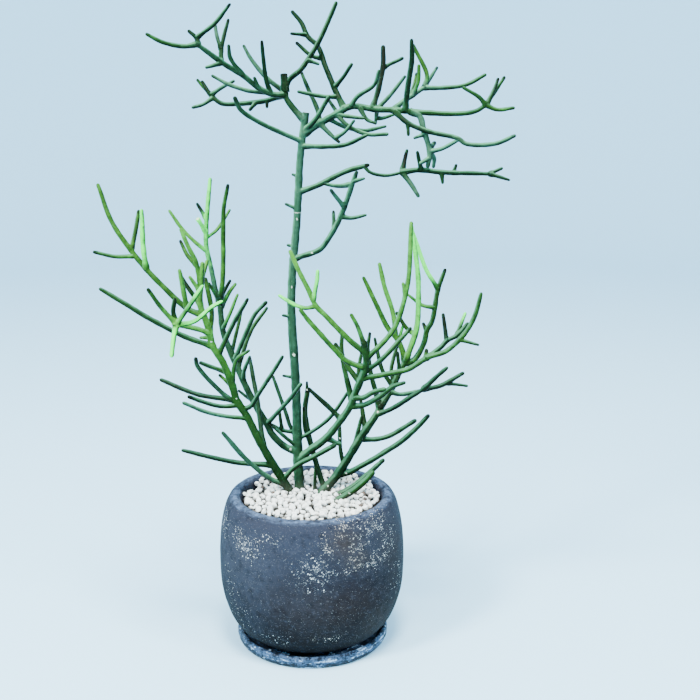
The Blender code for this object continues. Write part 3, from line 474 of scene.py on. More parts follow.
# %% [markdown]
# ## The two limbs under the crown
# Both leave the tall stem on its right and point a little towards the viewer.

# %% The side limbs at 58 cm and at 50 cm
MIDDLE_RIGHT = limb(
    6.0, 5.5, -1.6, [(-1.3, 58.2), (1.0, 59.0), (3.0, 60.0), (5.0, 60.9), (7.0, 61.4)],
    limb(3.4, 3.4, -1.2, [(6.6, 61.3), (7.3, 60.6), (9.3, 60.2), (11.4, 60.6)],
         limb(5.7, 4.1, -2.2, [(11.1, 60.5), (13.3, 60.85), (15.8, 60.6), (21.9, 60.4)],
              limb(4.0, 3.3, 0.6, [(21.7, 60.4), (23.1, 61.0)]),
              limb(4.0, 3.1, -0.8, [(21.7, 60.4), (24.05, 59.7)]),
              limb(5.3, 4.6, 1.0, [(11.2, 60.5), (11.5, 62.0), (11.75, 63.1)], tone="dark"),
              limb(4.5, 4.0, -1.2, [(13.4, 60.8), (13.05, 62.9)]),
              limb(5.1, 4.6, -1.4, [(11.2, 60.5), (12.4, 59.0), (13.2, 57.8)], tone="sage"),
              limb(4.5, 4.0, -0.3, [(15.9, 60.6), (16.1, 59.4)]),
              limb(4.0, 3.4, 0.6, [(17.3, 60.5), (17.65, 61.4)]), tone="old"), tone="old"),
    tone="teal")

LOWER_RIGHT = limb(
    6.0, 5.1, -4.6, [(-1.95, 50.0), (-1.0, 50.4), (1.3, 51.3), (2.2, 52.4), (3.6, 54.8),
                     (4.9, 58.2), (5.7, 60.5)],
    limb(4.8, 4.2, -1.8, [(4.2, 56.4), (2.7, 58.4)], tone="wax"),
    limb(4.1, 3.4, -1.0, [(5.2, 59.6), (6.6, 59.8)]),
    limb(5.2, 3.8, 2.2, [(5.1, 59.2), (3.6, 58.95), (2.0, 59.15)]),
    limb(4.5, 3.8, -0.8, [(3.8, 55.4), (5.0, 55.1), (6.8, 55.45)]),
    limb(4.5, 3.8, 1.4, [(3.0, 53.8), (2.95, 55.8)]), tone=("teal", "sage"))

print("drawn:", count_limbs(MIDDLE_RIGHT), "limbs from 58 cm,", count_limbs(LOWER_RIGHT),
      "from 50 cm")

# %% [markdown]
# ## The two limbs that leave the tall stem just over the pot
# They fill the bush on both sides: one rises behind the stem that leans left, the other in front of
# the stem that leans right. Their young twigs are lime green.

# %% The low limbs of the tall stem
REAR_LEFT = limb(
    8.1, 6.5, 5.2, [(-2.0, 25.3), (-3.3, 25.9), (-4.95, 27.6), (-5.6, 29.0), (-6.9, 31.2),
                    (-8.2, 34.0), (-10.2, 39.0), (-10.9, 41.2), (-11.15, 45.2)],
    limb(6.0, 4.8, 2.0, [(-11.2, 44.4), (-11.6, 46.2), (-12.1, 49.0), (-12.6, 51.6), (-12.5, 54.4),
                         (-11.9, 59.7)],
         limb(4.5, 3.6, -1.6, [(-12.5, 51.0), (-14.0, 52.2), (-15.5, 53.8), (-16.9, 55.9)],
              tone="lime"),
         limb(4.8, 4.1, 1.2, [(-12.5, 55.0), (-13.5, 56.75)], tone="dark"),
         limb(5.1, 4.5, -1.2, [(-12.6, 53.4), (-13.55, 54.95)], tone="mint", cut=True),
         limb(3.8, 3.4, 2.4, [(-12.5, 52.6), (-11.3, 53.6), (-9.65, 56.0)], tone="lime"),
         tone=("sage", "mint")),
    limb(6.0, 4.8, -0.8, [(-11.1, 45.0), (-10.75, 47.2), (-10.5, 53.5), (-10.35, 56.2),
                          (-9.8, 58.95)], tone=("grass", "leaf")),
    limb(5.1, 4.2, -2.0, [(-11.15, 44.8), (-12.4, 47.0)], tone="leaf"),
    limb(4.8, 4.0, 1.8, [(-11.1, 45.0), (-9.85, 47.3)], tone="dark"),
    limb(5.5, 4.3, 3.2, [(-11.1, 43.8), (-9.9, 46.0), (-9.2, 46.9)], tone=("leaf", "lime")),
    limb(4.5, 3.6, -2.6, [(-10.9, 41.2), (-9.9, 43.3), (-8.95, 45.6)], tone="lime"),
    limb(4.5, 3.6, 3.6, [(-9.8, 38.2), (-9.0, 41.5), (-8.5, 43.8)], tone="leaf"),
    limb(5.5, 4.3, -2.2, [(-9.5, 37.2), (-7.9, 41.0), (-6.8, 43.2), (-5.5, 44.6)]),
    limb(5.0, 4.0, 4.2, [(-9.1, 36.2), (-7.4, 41.0), (-5.4, 43.9)], tone="moss"),
    limb(4.8, 4.1, -1.6, [(-8.5, 34.6), (-8.3, 36.0), (-7.6, 37.7)]),
    limb(4.1, 3.6, 2.4, [(-7.2, 31.9), (-9.0, 33.3)]),
    limb(5.2, 4.3, -3.6, [(-5.6, 29.0), (-4.4, 30.3), (-2.3, 32.7), (-1.3, 34.1)]), tone="teal")

FRONT_RIGHT = limb(
    8.9, 6.9, -5.6, [(-1.7, 24.1), (0.0, 25.55), (1.1, 26.35), (2.1, 27.3), (3.2, 28.6),
                     (4.8, 31.0), (5.6, 33.0), (6.6, 35.5), (6.95, 37.2), (6.75, 39.4)],
    limb(5.8, 5.3, 0.3, [(2.0, 27.2), (2.9, 26.6), (3.6, 26.3)]),
    limb(5.5, 5.2, 1.2, [(3.8, 29.5), (2.0, 31.4), (-0.15, 33.5)], tone="night"),
    limb(6.4, 4.5, 2.2, [(5.2, 31.9), (4.9, 33.2), (4.3, 36.0), (3.9, 38.5), (3.95, 40.5)],
         limb(5.2, 5.2, 0.3, [(4.0, 37.8), (3.2, 39.25)])),
    limb(5.9, 5.2, 1.0, [(6.1, 34.5), (4.9, 36.1), (4.45, 37.0)]),
    limb(5.0, 4.1, 2.6, [(5.9, 34.0), (6.1, 36.4), (6.4, 38.2)]),
    limb(5.9, 4.8, -2.6, [(6.9, 36.5), (6.0, 36.55), (4.4, 37.3), (3.0, 38.7), (0.0, 42.15),
                          (-1.1, 43.6)], tone="grass"),
    limb(5.9, 4.5, -1.6, [(6.8, 38.3), (5.0, 39.8), (1.9, 43.0), (0.75, 44.2), (-0.2, 46.3),
                          (-1.3, 48.5), (-2.3, 50.9)],
         limb(4.6, 4.1, -1.2, [(0.5, 44.9), (0.85, 47.2), (0.95, 48.5)], tone="mint"),
         limb(4.5, 3.6, 0.8, [(0.75, 44.2), (-0.5, 43.95), (-1.9, 44.4), (-3.7, 45.5)],
              tone=("lime", "mint")),
         tone=("leaf", "lime")),
    limb(5.1, 4.1, 2.6, [(6.75, 39.2), (5.9, 41.6), (5.15, 43.0)], tone=("wax", "grass")),
    limb(5.7, 4.5, -2.2, [(6.9, 37.6), (8.3, 38.8), (9.6, 40.2), (10.5, 41.5), (11.5, 44.4),
                          (12.2, 48.2), (12.3, 52.0), (12.4, 54.4)],
         limb(4.5, 4.0, -0.4, [(11.8, 45.7), (11.5, 46.95)]), tone=("leaf", "lime")),
    limb(5.5, 4.8, 0.8, [(6.7, 35.6), (8.7, 37.2), (12.4, 41.3)]),
    limb(6.0, 4.8, -3.0, [(6.4, 35.0), (8.0, 35.2), (10.0, 35.6), (12.2, 36.1), (14.6, 37.6),
                          (17.0, 38.5), (19.0, 40.4), (20.4, 42.9), (21.1, 45.7)],
         limb(5.5, 4.5, 1.2, [(14.5, 37.5), (16.4, 39.1), (17.0, 39.8), (18.2, 40.45),
                              (19.5, 41.9)],
              limb(4.3, 4.0, 1.0, [(17.0, 39.8), (16.5, 43.05)], tone="dark"),
              limb(4.3, 3.6, 1.6, [(18.2, 40.5), (19.2, 43.2)], tone="mint"), tone="old"),
         limb(3.8, 3.3, -0.8, [(18.6, 40.0), (20.9, 39.3)], tone="old"),
         limb(4.5, 4.1, 0.4, [(14.4, 37.5), (14.5, 38.5)]), tone="leaf"),
    limb(6.2, 5.2, -1.4, [(5.0, 31.4), (6.5, 31.4), (8.6, 32.5), (10.4, 33.9), (11.7, 34.35)]),
    limb(5.7, 5.2, -2.8, [(5.4, 32.5), (6.6, 32.4), (7.8, 33.1), (9.2, 33.5)]),
    tone=("teal", "moss"))

print("drawn:", count_limbs(REAR_LEFT), "limbs in the rear left,", count_limbs(FRONT_RIGHT),
      "in the front right")

# %% [markdown]
# ## The stems themselves
# The tall stem carries all of the limbs above. The left and the right stem stand by themselves, and
# three short shoots come up between them.

# %% The tall stem
TALL_STEM = limb(
    11.6, 7.2, 0.0, [(-1.55, 20.2), (-1.72, 25.0), (-1.85, 34.0), (-2.05, 38.0), (-2.3, 43.0),
                     (-2.14, 48.0), (-1.5, 55.0), (-0.95, 63.0), (-0.3, 67.6)],
    limb(3.8, 3.3, 0.4, [(-1.9, 35.0), (-3.35, 35.3)]),
    limb(3.8, 3.3, -0.5, [(-2.3, 42.8), (-3.3, 43.0)]),
    limb(4.0, 3.4, 0.4, [(-1.8, 51.5), (-2.6, 51.75)]),
    limb(3.6, 3.3, -0.4, [(-1.4, 56.2), (-2.75, 56.75)]),
    limb(3.6, 3.3, 0.3, [(-1.2, 60.0), (-1.9, 60.3)]),
    limb(4.3, 3.8, -1.4, [(-1.75, 27.1), (-0.4, 27.6), (2.0, 29.4), (3.1, 30.7), (4.7, 33.1)],
         tone="old"),
    limb(4.5, 4.0, 0.8, [(-1.8, 27.8), (-3.5, 28.1), (-5.0, 28.9)],
         limb(4.1, 3.6, 0.8, [(-3.6, 28.2), (-4.0, 30.7)]), tone="old"),
    limb(4.5, 4.0, -1.4, [(-1.8, 26.0), (-2.7, 26.7), (-4.8, 28.6)], tone="teal"),
    limb(4.8, 4.0, 2.4, [(-1.8, 27.2), (-2.6, 28.6), (-3.1, 30.2), (-4.7, 35.1)]),
    limb(5.2, 4.3, -5.6, [(-1.0, 64.2), (-4.9, 66.0), (-8.0, 67.9), (-8.65, 69.2)], tone="teal"),
    limb(5.2, 4.6, -2.2, [(-0.6, 65.3), (0.9, 66.9), (2.4, 69.3)], tone="teal"),
    limb(5.2, 4.0, -4.2, [(-0.9, 63.6), (4.2, 63.8), (6.8, 64.9)], tone="old"),
    CROWN_UPPER_LEFT, CROWN_RIGHT, MIDDLE_RIGHT, LOWER_RIGHT, REAR_LEFT, FRONT_RIGHT,
    tone=("teal", "wax"), cut=True)

print("the tall stem:", count_limbs(TALL_STEM), "limbs")

# %% The left stem
LEFT_STEM = limb(
    10.0, 5.5, -6.0, [(-2.85, 20.0), (-4.5, 22.8), (-6.3, 26.1), (-8.2, 30.1), (-9.3, 32.0),
                      (-9.9, 34.2), (-11.0, 37.1), (-12.2, 39.1), (-12.5, 40.6), (-13.0, 42.5),
                      (-13.6, 44.6), (-13.15, 49.4)],
    limb(5.5, 5.8, -1.9, [(-3.6, 21.6), (-1.9, 23.35), (0.5, 24.7), (2.9, 26.05)]),
    limb(6.4, 4.6, -1.0, [(-4.9, 23.4), (-9.5, 23.8), (-16.3, 25.4)], tone="night"),
    limb(5.5, 5.0, -4.0, [(-3.2, 20.7), (-5.0, 21.4), (-8.4, 24.3), (-11.2, 27.7)], tone="sage"),
    limb(5.5, 4.8, 2.6, [(-9.3, 32.0), (-13.0, 32.6), (-15.0, 33.1), (-18.7, 34.7)], tone="night"),
    limb(5.1, 4.3, -2.2, [(-9.0, 31.4), (-11.5, 31.3), (-15.3, 32.5)], tone="old"),
    limb(4.8, 3.8, -3.6, [(-8.0, 29.6), (-12.5, 30.3), (-16.0, 31.7)], tone="sage"),
    limb(5.1, 4.3, -1.0, [(-9.1, 31.6), (-11.0, 32.9), (-14.2, 36.6), (-14.35, 37.4)], tone="teal"),
    limb(5.1, 4.6, 2.2, [(-10.5, 35.6), (-13.7, 36.95)], tone="old"),
    limb(4.5, 4.0, 1.6, [(-9.8, 33.8), (-11.4, 35.3)]),
    limb(4.8, 4.3, 0.6, [(-12.4, 40.3), (-13.6, 40.2)]),
    limb(5.9, 4.6, -3.0, [(-12.2, 39.2), (-16.0, 40.5), (-19.0, 42.1), (-25.75, 46.3)],
         tone=("old", "moss")),
    limb(5.3, 5.2, -3.6, [(-12.5, 40.8), (-14.0, 41.3), (-16.8, 41.9)],
         limb(5.2, 4.6, 0.6, [(-16.7, 41.9), (-16.95, 43.5), (-16.75, 44.9)], tone="old"),
         limb(4.8, 4.1, -1.6, [(-16.7, 41.9), (-18.5, 44.1), (-19.9, 46.2)], tone="leaf"),
         limb(5.3, 4.6, -1.2, [(-16.7, 41.9), (-17.0, 40.2), (-17.35, 38.0)], tone="mint"),
         limb(4.8, 4.1, -1.4, [(-16.6, 41.9), (-15.3, 43.7), (-13.3, 46.6)], tone=("leaf", "mint")),
         limb(4.8, 4.1, 1.0, [(-16.5, 41.8), (-14.3, 42.3), (-12.2, 44.0), (-11.0, 44.7)],
              tone="mint"),
         tone="lime"),
    limb(6.0, 4.6, 3.4, [(-13.2, 43.1), (-15.2, 43.9), (-18.3, 46.9), (-20.2, 49.0), (-21.8, 51.1),
                         (-24.1, 54.9), (-25.4, 59.0)],
         limb(5.0, 4.3, 1.6, [(-21.8, 51.2), (-21.2, 53.4), (-20.7, 55.8)], tone="leaf"),
         limb(5.5, 4.8, -1.4, [(-20.1, 48.9), (-20.3, 51.5), (-20.3, 55.9)], tone="mint"),
         limb(4.5, 3.6, -1.2, [(-21.4, 50.5), (-23.8, 50.35), (-26.25, 50.9)], tone="leaf"),
         limb(5.5, 4.6, -1.8, [(-15.2, 43.9), (-15.6, 46.0), (-15.95, 48.6)], tone="lime"),
         tone=("leaf", "grass")),
    limb(4.8, 4.1, 1.2, [(-13.5, 44.4), (-15.2, 46.8), (-15.7, 47.7)], tone="old"),
    limb(4.5, 4.0, -1.0, [(-13.5, 46.0), (-14.7, 47.8)], tone="lime"),
    limb(4.8, 4.1, 1.6, [(-13.4, 46.9), (-12.6, 49.7)], tone="lime"),
    limb(5.1, 4.1, -1.4, [(-13.4, 47.0), (-14.0, 49.9), (-14.7, 51.3), (-15.6, 53.6)],
         limb(4.3, 3.8, 1.6, [(-13.8, 49.2), (-14.9, 50.5), (-15.7, 52.2)], tone="leaf"),
         tone=("leaf", "lime")),
    limb(5.5, 4.8, 1.8, [(-12.5, 40.8), (-12.2, 43.4), (-12.8, 47.5)], tone="leaf"),
    limb(5.5, 4.3, -0.8, [(-11.5, 38.0), (-9.4, 42.2), (-7.75, 45.0)], tone="old"),
    limb(4.8, 3.8, -1.4, [(-9.9, 34.2), (-9.2, 37.4), (-7.75, 38.5)]),
    limb(5.1, 4.1, -1.2, [(-8.6, 30.8), (-7.6, 31.3), (-6.5, 33.0), (-3.5, 37.7)], tone="old"),
    limb(5.7, 4.8, 5.6, [(-5.7, 25.0), (-6.2, 27.0), (-6.75, 32.0), (-7.6, 37.5)], tone="teal"),
    tone=("old", "lime"))

print("the left stem:", count_limbs(LEFT_STEM), "limbs")

# %% The right stem
RIGHT_STEM = limb(
    10.7, 8.4, 3.4, [(1.35, 19.75), (2.9, 21.6), (3.8, 22.9), (6.6, 27.6), (8.3, 30.2),
                     (8.7, 31.2)],
    limb(6.4, 6.0, 4.2, [(1.8, 20.2), (0.75, 23.2), (0.3, 25.0), (-0.3, 27.6), (-0.75, 30.8),
                         (-0.4, 33.3)],
         limb(4.1, 3.4, 0.2, [(-0.45, 33.0), (-0.45, 34.4)]),
         limb(5.0, 4.3, 0.6, [(0.1, 25.9), (-0.75, 28.4), (-0.9, 31.0)])),
    limb(4.8, 4.3, 1.4, [(4.1, 23.5), (3.75, 25.4), (3.6, 29.0)]),
    limb(5.2, 4.6, 1.2, [(5.4, 25.6), (6.1, 28.5), (6.4, 29.8)]),
    limb(6.0, 5.3, 2.0, [(6.3, 27.0), (8.0, 26.9), (10.0, 27.4), (13.1, 29.35)]),
    limb(6.7, 5.7, 2.2, [(3.4, 22.2), (4.6, 22.4), (6.5, 23.4), (11.3, 26.5), (12.9, 27.9),
                         (14.8, 29.95)]),
    limb(6.4, 4.8, 1.6, [(7.0, 28.2), (6.7, 29.6), (6.3, 31.9)]),
    limb(5.8, 5.5, -1.6, [(8.3, 30.2), (9.8, 30.75), (12.6, 32.5), (14.3, 33.6)],
         limb(5.5, 5.0, -1.2, [(14.2, 33.5), (16.1, 35.4), (17.05, 36.25)]),
         limb(5.5, 5.0, 1.6, [(14.2, 33.5), (16.3, 34.0), (19.05, 35.55)],
              limb(4.0, 3.3, 0.8, [(17.0, 34.4), (19.6, 34.0)])), tone="night"),
    limb(6.5, 4.1, 2.2, [(8.6, 31.0), (8.15, 33.3), (7.55, 35.6), (7.2, 39.0), (7.4, 40.7)]),
    limb(8.1, 7.2, 2.6, [(8.6, 31.0), (10.0, 33.2), (11.0, 35.4), (11.9, 37.2)],
         limb(5.2, 4.8, -2.0, [(10.0, 33.2), (11.2, 32.85), (13.9, 33.35)], tone="sage"),
         limb(5.3, 4.3, 1.8, [(10.2, 33.9), (9.0, 36.0), (8.4, 38.3), (8.05, 40.0)]),
         limb(4.8, 4.3, 1.8, [(10.4, 34.4), (10.1, 35.8), (10.8, 39.2)]),
         limb(4.6, 4.0, -1.0, [(11.1, 35.7), (10.9, 38.2)]),
         limb(6.7, 5.0, 2.2, [(11.8, 37.1), (11.5, 38.5), (10.8, 40.1), (9.7, 41.4), (8.2, 44.4),
                              (6.65, 47.65)],
              limb(5.5, 5.2, -1.2, [(10.6, 40.3), (10.35, 43.0), (9.1, 47.0), (8.6, 49.35)],
                   tone="lime"),
              limb(4.3, 4.0, 1.0, [(10.9, 39.8), (11.55, 41.7)], tone="mint"), tone="grass"),
         limb(7.2, 4.8, -1.0, [(11.8, 37.0), (12.4, 38.6), (13.2, 41.2), (13.4, 44.5),
                               (13.25, 48.5), (12.45, 54.0)],
              limb(5.0, 4.5, 2.4, [(13.0, 40.7), (12.0, 41.4), (10.8, 43.3)], tone="leaf"),
              tone=("lime", "mint")),
         limb(6.9, 5.2, 2.8, [(11.7, 36.9), (12.9, 37.3), (14.2, 39.6), (14.55, 41.2), (15.1, 42.2),
                              (15.8, 46.3), (16.6, 48.65)],
              limb(4.3, 4.0, 0.3, [(14.5, 41.0), (14.1, 41.9)]),
              limb(4.5, 3.6, -2.2, [(15.5, 44.0), (13.9, 44.3), (12.1, 45.65)], tone="lime"),
              limb(5.0, 4.3, -1.4, [(15.8, 46.3), (14.3, 48.8), (12.65, 53.3)], tone="mint"),
              tone=("leaf", "moss")), tone=("old", "moss")))

print("the right stem:", count_limbs(RIGHT_STEM), "limbs")

# %% The three shoots, and all that stands in the gravel
LOW_SHOOT_FRONT = limb(
    7.7, 6.7, -1.6, [(3.3, 18.7), (4.3, 19.3), (5.8, 20.3), (7.0, 21.4), (7.8, 22.3)],
    tone=("old", "leaf"))

LOW_SHOOT_BEHIND = limb(6.7, 6.0, 0.4, [(2.9, 19.2), (4.5, 20.0), (6.3, 21.4), (9.1, 24.0)])

SLIM_SHOOT = limb(4.1, 3.4, -0.6, [(0.42, 20.1), (0.46, 21.6), (0.52, 23.0)])

# Each stem, how far back its foot is in centimetres, its own tone, and the record's slot for it
STANDING_STEMS = {
    "tall_stem": (TALL_STEM, 1.5, "teal", "tall_green"),
    "left_stem": (LEFT_STEM, 1.0, "old", "bush_green"),
    "right_stem": (RIGHT_STEM, 0.4, "old", "bush_green"),
    "low_shoot_front": (LOW_SHOOT_FRONT, -2.4, "leaf", "bush_green"),
    "low_shoot_behind": (LOW_SHOOT_BEHIND, -0.6, "old", "bush_green"),
    "slim_shoot": (SLIM_SHOOT, 0.9, "old", "bush_green"),
}

print("limbs:", {name: count_limbs(stem[0]) for name, stem in STANDING_STEMS.items()})

# %% [markdown]
# ## From drawn points to smooth courses
# A twig bends softly, so a smooth curve is laid through the drawn points and read every two
# millimetres. Everything that belongs to a point goes along the same curve: its place in the
# drawing, how far back it is, its thickness and its tone. The curve is a spline that goes through
# every point, with centripetal spacing, so that it never loops where two points lie close.

# %% A smooth curve through points of any kind
READ_EVERY = 0.2
MM_PER_CM = 10.0


def smooth(points, step):
    """Rows read about every step along a centripetal spline through the rows."""
    rows = np.asarray(points, float)
    rows = np.vstack([2 * rows[0] - rows[1], rows, 2 * rows[-1] - rows[-2]])
    read = []
    for p0, p1, p2, p3 in zip(rows, rows[1:], rows[2:], rows[3:]):
        knots = [0.0]
        for a, b in ((p0, p1), (p1, p2), (p2, p3)):
            knots.append(knots[-1] + math.dist(a[:2], b[:2]) ** 0.5)
        t0, t1, t2, t3 = knots
        count = max(2, math.ceil(math.dist(p1[:2], p2[:2]) / step))
        t = t1 + (t2 - t1) * np.arange(count)[:, None] / count
        a1 = (t1 - t) / (t1 - t0) * p0 + (t - t0) / (t1 - t0) * p1
        a2 = (t2 - t) / (t2 - t1) * p1 + (t - t1) / (t2 - t1) * p2
        a3 = (t3 - t) / (t3 - t2) * p2 + (t - t2) / (t3 - t2) * p3
        b1 = (t2 - t) / (t2 - t0) * a1 + (t - t0) / (t2 - t0) * a2
        b2 = (t3 - t) / (t3 - t1) * a2 + (t - t1) / (t3 - t1) * a3
        read.append((t2 - t) / (t2 - t1) * b1 + (t - t1) / (t2 - t1) * b2)
    return np.vstack(read + [rows[-2]])


print("a test bow:", len(smooth([(0, 0), (1, 2), (3, 3)], READ_EVERY)), "rows")

# %% [markdown]
# ## Growing the limbs
# Each limb starts on its parent, at the place of the parent's curve that is nearest in the drawing,
# and takes its depth and its tone from there. Its tip is always a little younger than its root.
# Where it starts, the parent is a little swollen, as a real stem is at its nodes.

# %% The course of every limb of a stem
BACK, RADIUS, YOUNG, DARK, TONE = 2, 3, 4, 6, slice(4, 7)
TIP_YOUTH = 0.08
NODE_SWELLING = 0.10
NODE_LENGTH = 0.35
PLUMPER, THICKER = 1.08, 0.3


def toned(tone, before):
    """The tones at the limb's root and tip as rows."""
    if tone is None:
        return before, np.clip(before + (TIP_YOUTH, 0.0, 0.0), 0.0, 1.0)
    names = (tone, tone) if isinstance(tone, str) else tone
    return tuple(np.array(TONES[name]) for name in names)


def course(drawn, back, tone, parent=None):
    """A limb's rows (x, z, back, radius in mm, young, mint, dark), read along its smooth curve."""
    points = list(drawn["points"])
    if parent is not None:
        away = np.hypot(parent[:, 0] - points[0][0], parent[:, 1] - points[0][1])
        root = int(away.argmin())
        points[0] = tuple(parent[root, :2])
        back = parent[root, BACK]
        tone = parent[root, TONE].copy()
        steps = (np.arange(len(parent)) - root) * READ_EVERY / NODE_LENGTH
        parent[:, RADIUS] *= 1.0 + NODE_SWELLING * np.exp(-steps ** 2) * drawn["wide"] / (
            2.0 * parent[root, RADIUS])
    low, high = toned(drawn["tone"], tone)
    lengths = [math.dist(a, b) for a, b in zip(points, points[1:])]
    rows = []
    for number, (x, z) in enumerate(points):
        part = sum(lengths[:number]) / sum(lengths)
        thick = drawn["wide"] + (drawn["narrow"] - drawn["wide"]) * part
        at = low + (high - low) * part
        if number == 0 and parent is not None:
            at = tone
        radius = PLUMPER * thick / 2 + THICKER
        rows.append((x, z, back + drawn["back"] * DEPTH_SPREAD * part, radius, *at))
    return smooth(rows, READ_EVERY)


def courses(drawn, back, tone, parent=None):
    """The course of a limb and of all that grows from it, each with its limb, root first."""
    own = course(drawn, back, tone, parent)
    found = [(drawn, own)]
    for branch in drawn["branches"]:
        found += courses(branch, back, tone, own)
    return found


drawn, back, tone, _ = STANDING_STEMS["tall_stem"]
print("the tall stem's courses:", len(courses(drawn, back, np.array(TONES[tone]))))

# %% [markdown]
# ## From the drawing into the room
# The drawing is what the eye sees on a glass pane through the pot's middle. A point that lies
# further back than the pane is moved away from the eye along its line of sight, so from the camera
# nothing shifts, and from every other side the plant has depth. A faint drift, the same for all
# limbs at one spot, keeps the twigs from looking ruled. Blender's vector noise starts at a place
# that depends on the time of day, so it is given a seed first.

# %% Places in the room
DRIFT = 0.45 * MM
DRIFT_LUMP = 28 * MM
DRIFT_SEED = 7
HIGHEST_TIP = (3.3, 79.95, 3.1)


def seen_at(x, z, back):
    """The place that looks, from the eye, as if at (x, z) on the pane, but lies at y = back."""
    pane = Vector((x, 0.0, z))
    return (EYE + (pane - EYE) * (1.0 - back / EYE.y)) * CM


def in_room(rows):
    """A course's places in metres."""
    places = [seen_at(*row[:3]) for row in rows]
    return [place + DRIFT * noise.noise_vector(place / DRIFT_LUMP) for place in places]


noise.seed_set(DRIFT_SEED)
print("the crown's highest twig ends at", round(seen_at(*HIGHEST_TIP).z, 3), "m")

# %% [markdown]
# ## A twig as a swept ring
# A twig could be a curve with a bevel, but its tip and its root need their own shape, so a ring is
# extruded from place to place instead. Each ring turns with the twig without twisting about it.
# The root is a little flared where it leaves the older wood, and the tip narrows and ends round, or
# flat and slightly dished where it was cut.

# %% Sweeping a ring along a course
FLARE, FLARE_REACH = 0.30, 1.6
TAPER, TAPER_REACH = (0.04, 0.26), 9.0
TIP_ROUND, TIP_LENGTH = (0.34, 0.62, 0.84, 0.96), 1.25
KNOBS, KNOB_LUMP = 0.11, 8 * MM
CUT_RINGS = ((0.35, 0.90), (0.30, 0.55), (0.0, 0.30))
SIDES = ((4.0, 24), (2.7, 16), (0.0, 12))


def ring_turns(places):
    """How each ring is turned: along the course, and not twisted against the one before."""
    turns = []
    for number in range(len(places)):
        ahead = places[min(number + 1, len(places) - 1)] - places[max(number - 1, 0)]
        ahead.normalize()
        if turns:
            turns.append(before.rotation_difference(ahead) @ turns[-1])
        else:
            turns.append(ahead.to_track_quat("Z", "Y"))
        before = ahead
    return turns


def girths(rows, parent_radius, tapering):
    """The radius of each ring in metres, with the flared root and the narrowing tip."""
    radius = rows[:, RADIUS]
    steps = np.arange(len(rows)) * READ_EVERY * MM_PER_CM
    out = np.maximum(steps - parent_radius, 0.0) / (FLARE_REACH * radius[0])
    flare = 1.0 + (FLARE if parent_radius else 0.0) * np.exp(-out ** 2)
    left = steps[::-1] / (TAPER_REACH * radius[-1])
    narrowing = 1.0 - tapering * np.clip(1.0 - left, 0.0, 1.0) ** 2
    return radius * flare * narrowing * MM


def stations(places, radii, cut):
    """Where every ring goes, as matrices, with the rings of the tip or of the cut end."""
    turns = ring_turns(places)
    found = list(zip(places, turns, radii))
    ahead = turns[-1] @ Vector((0.0, 0.0, 1.0))
    last, radius = places[-1], radii[-1]
    if cut:
        ends = [(rise * MM, radius * share) for rise, share in CUT_RINGS]
    else:
        ends = [(TIP_LENGTH * radius * t, radius * math.sqrt(1.0 - t * t)) for t in TIP_ROUND]
    found += [(last + ahead * rise, turns[-1], ring) for rise, ring in ends]
    return [Matrix.LocRotScale(place, turned, (ring, ring, 1.0)) for place, turned, ring in found]


def sweep(rings, sides):
    """A closed tube: one ring, extruded through all the others, with both ends filled."""
    shape = bmesh.new()
    bmesh.ops.create_circle(shape, segments=sides, radius=1.0, matrix=rings[0])
    edges = list(shape.edges)
    bmesh.ops.contextual_create(shape, geom=edges)
    for before, after in zip(rings, rings[1:]):
        made = bmesh.ops.extrude_edge_only(shape, edges=edges)["geom"]
        corners = [part for part in made if isinstance(part, bmesh.types.BMVert)]
        edges = [part for part in made if isinstance(part, bmesh.types.BMEdge) and part.is_boundary]
        bmesh.ops.transform(shape, matrix=after @ before.inverted(), verts=corners)
    bmesh.ops.contextual_create(shape, geom=edges)
    bmesh.ops.recalc_face_normals(shape, faces=shape.faces)
    return shape


low_ring = Matrix.Diagonal((MM, MM, 1.0, 1.0))
trial = sweep([low_ring, Matrix.Translation((0, 0, CM)) @ low_ring], SIDES[-1][1])
print("a trial peg:", len(trial.faces), "faces,", round(trial.calc_volume() / MM ** 3, 1), "mm3")
trial.free()

# %% [markdown]
# ## Growing together
# All limbs of a stem are one living body, so their tubes are fused in one Boolean union. The solver
# MANIFOLD does a hundred and more tubes in a second or two. The union leaves a hard crease in every
# fork, and real forks are rounded, so the points in and beside a crease are relaxed a little.

# %% Fusing a stem's tubes
FORK_CREASE = math.radians(22)
FORK_PASSES, FORK_EASE = 3, 0.5


def fuse(name, tubes):
    """One mesh from closed tubes, by a union with all the others at once."""
    meshes = []
    for number, tube in enumerate(tubes):
        mesh = bpy.data.meshes.new(f"{name}_{number}")
        tube.to_mesh(mesh)
        tube.free()
        meshes.append(mesh)
    holder = bpy.data.objects.new(name + "_fusing", meshes[0])
    bpy.context.scene.collection.objects.link(holder)
    others = bpy.data.collections.new(name + "_others")
    bpy.context.scene.collection.children.link(others)
    for mesh in meshes[1:]:
        others.objects.link(bpy.data.objects.new(mesh.name, mesh))
    if meshes[1:]:
        union = holder.modifiers.new("union", "BOOLEAN")
        union.operation = "UNION"
        union.solver = "MANIFOLD"
        union.operand_type = "COLLECTION"
        union.collection = others
    bpy.context.view_layer.update()
    shape = bmesh.new()
    shape.from_object(holder, bpy.context.evaluated_depsgraph_get())
    for spent in [holder] + list(others.objects):
        bpy.data.objects.remove(spent)
    for mesh in meshes:
        bpy.data.meshes.remove(mesh)
    bpy.data.collections.remove(others)
    return shape


def soften_forks(shape):
    """Relaxes the points in and beside each hollow crease, and says how many there are."""
    creases = [edge for edge in shape.edges if edge.is_manifold and not edge.is_convex
               and edge.calc_face_angle() > FORK_CREASE]
    near = {corner for edge in creases for corner in edge.verts}
    near |= {edge.other_vert(corner) for corner in near for edge in corner.link_edges}
    for _ in range(FORK_PASSES):
        bmesh.ops.smooth_vert(shape, verts=list(near), factor=FORK_EASE, use_axis_x=True,
                              use_axis_y=True, use_axis_z=True)
    return len(near)


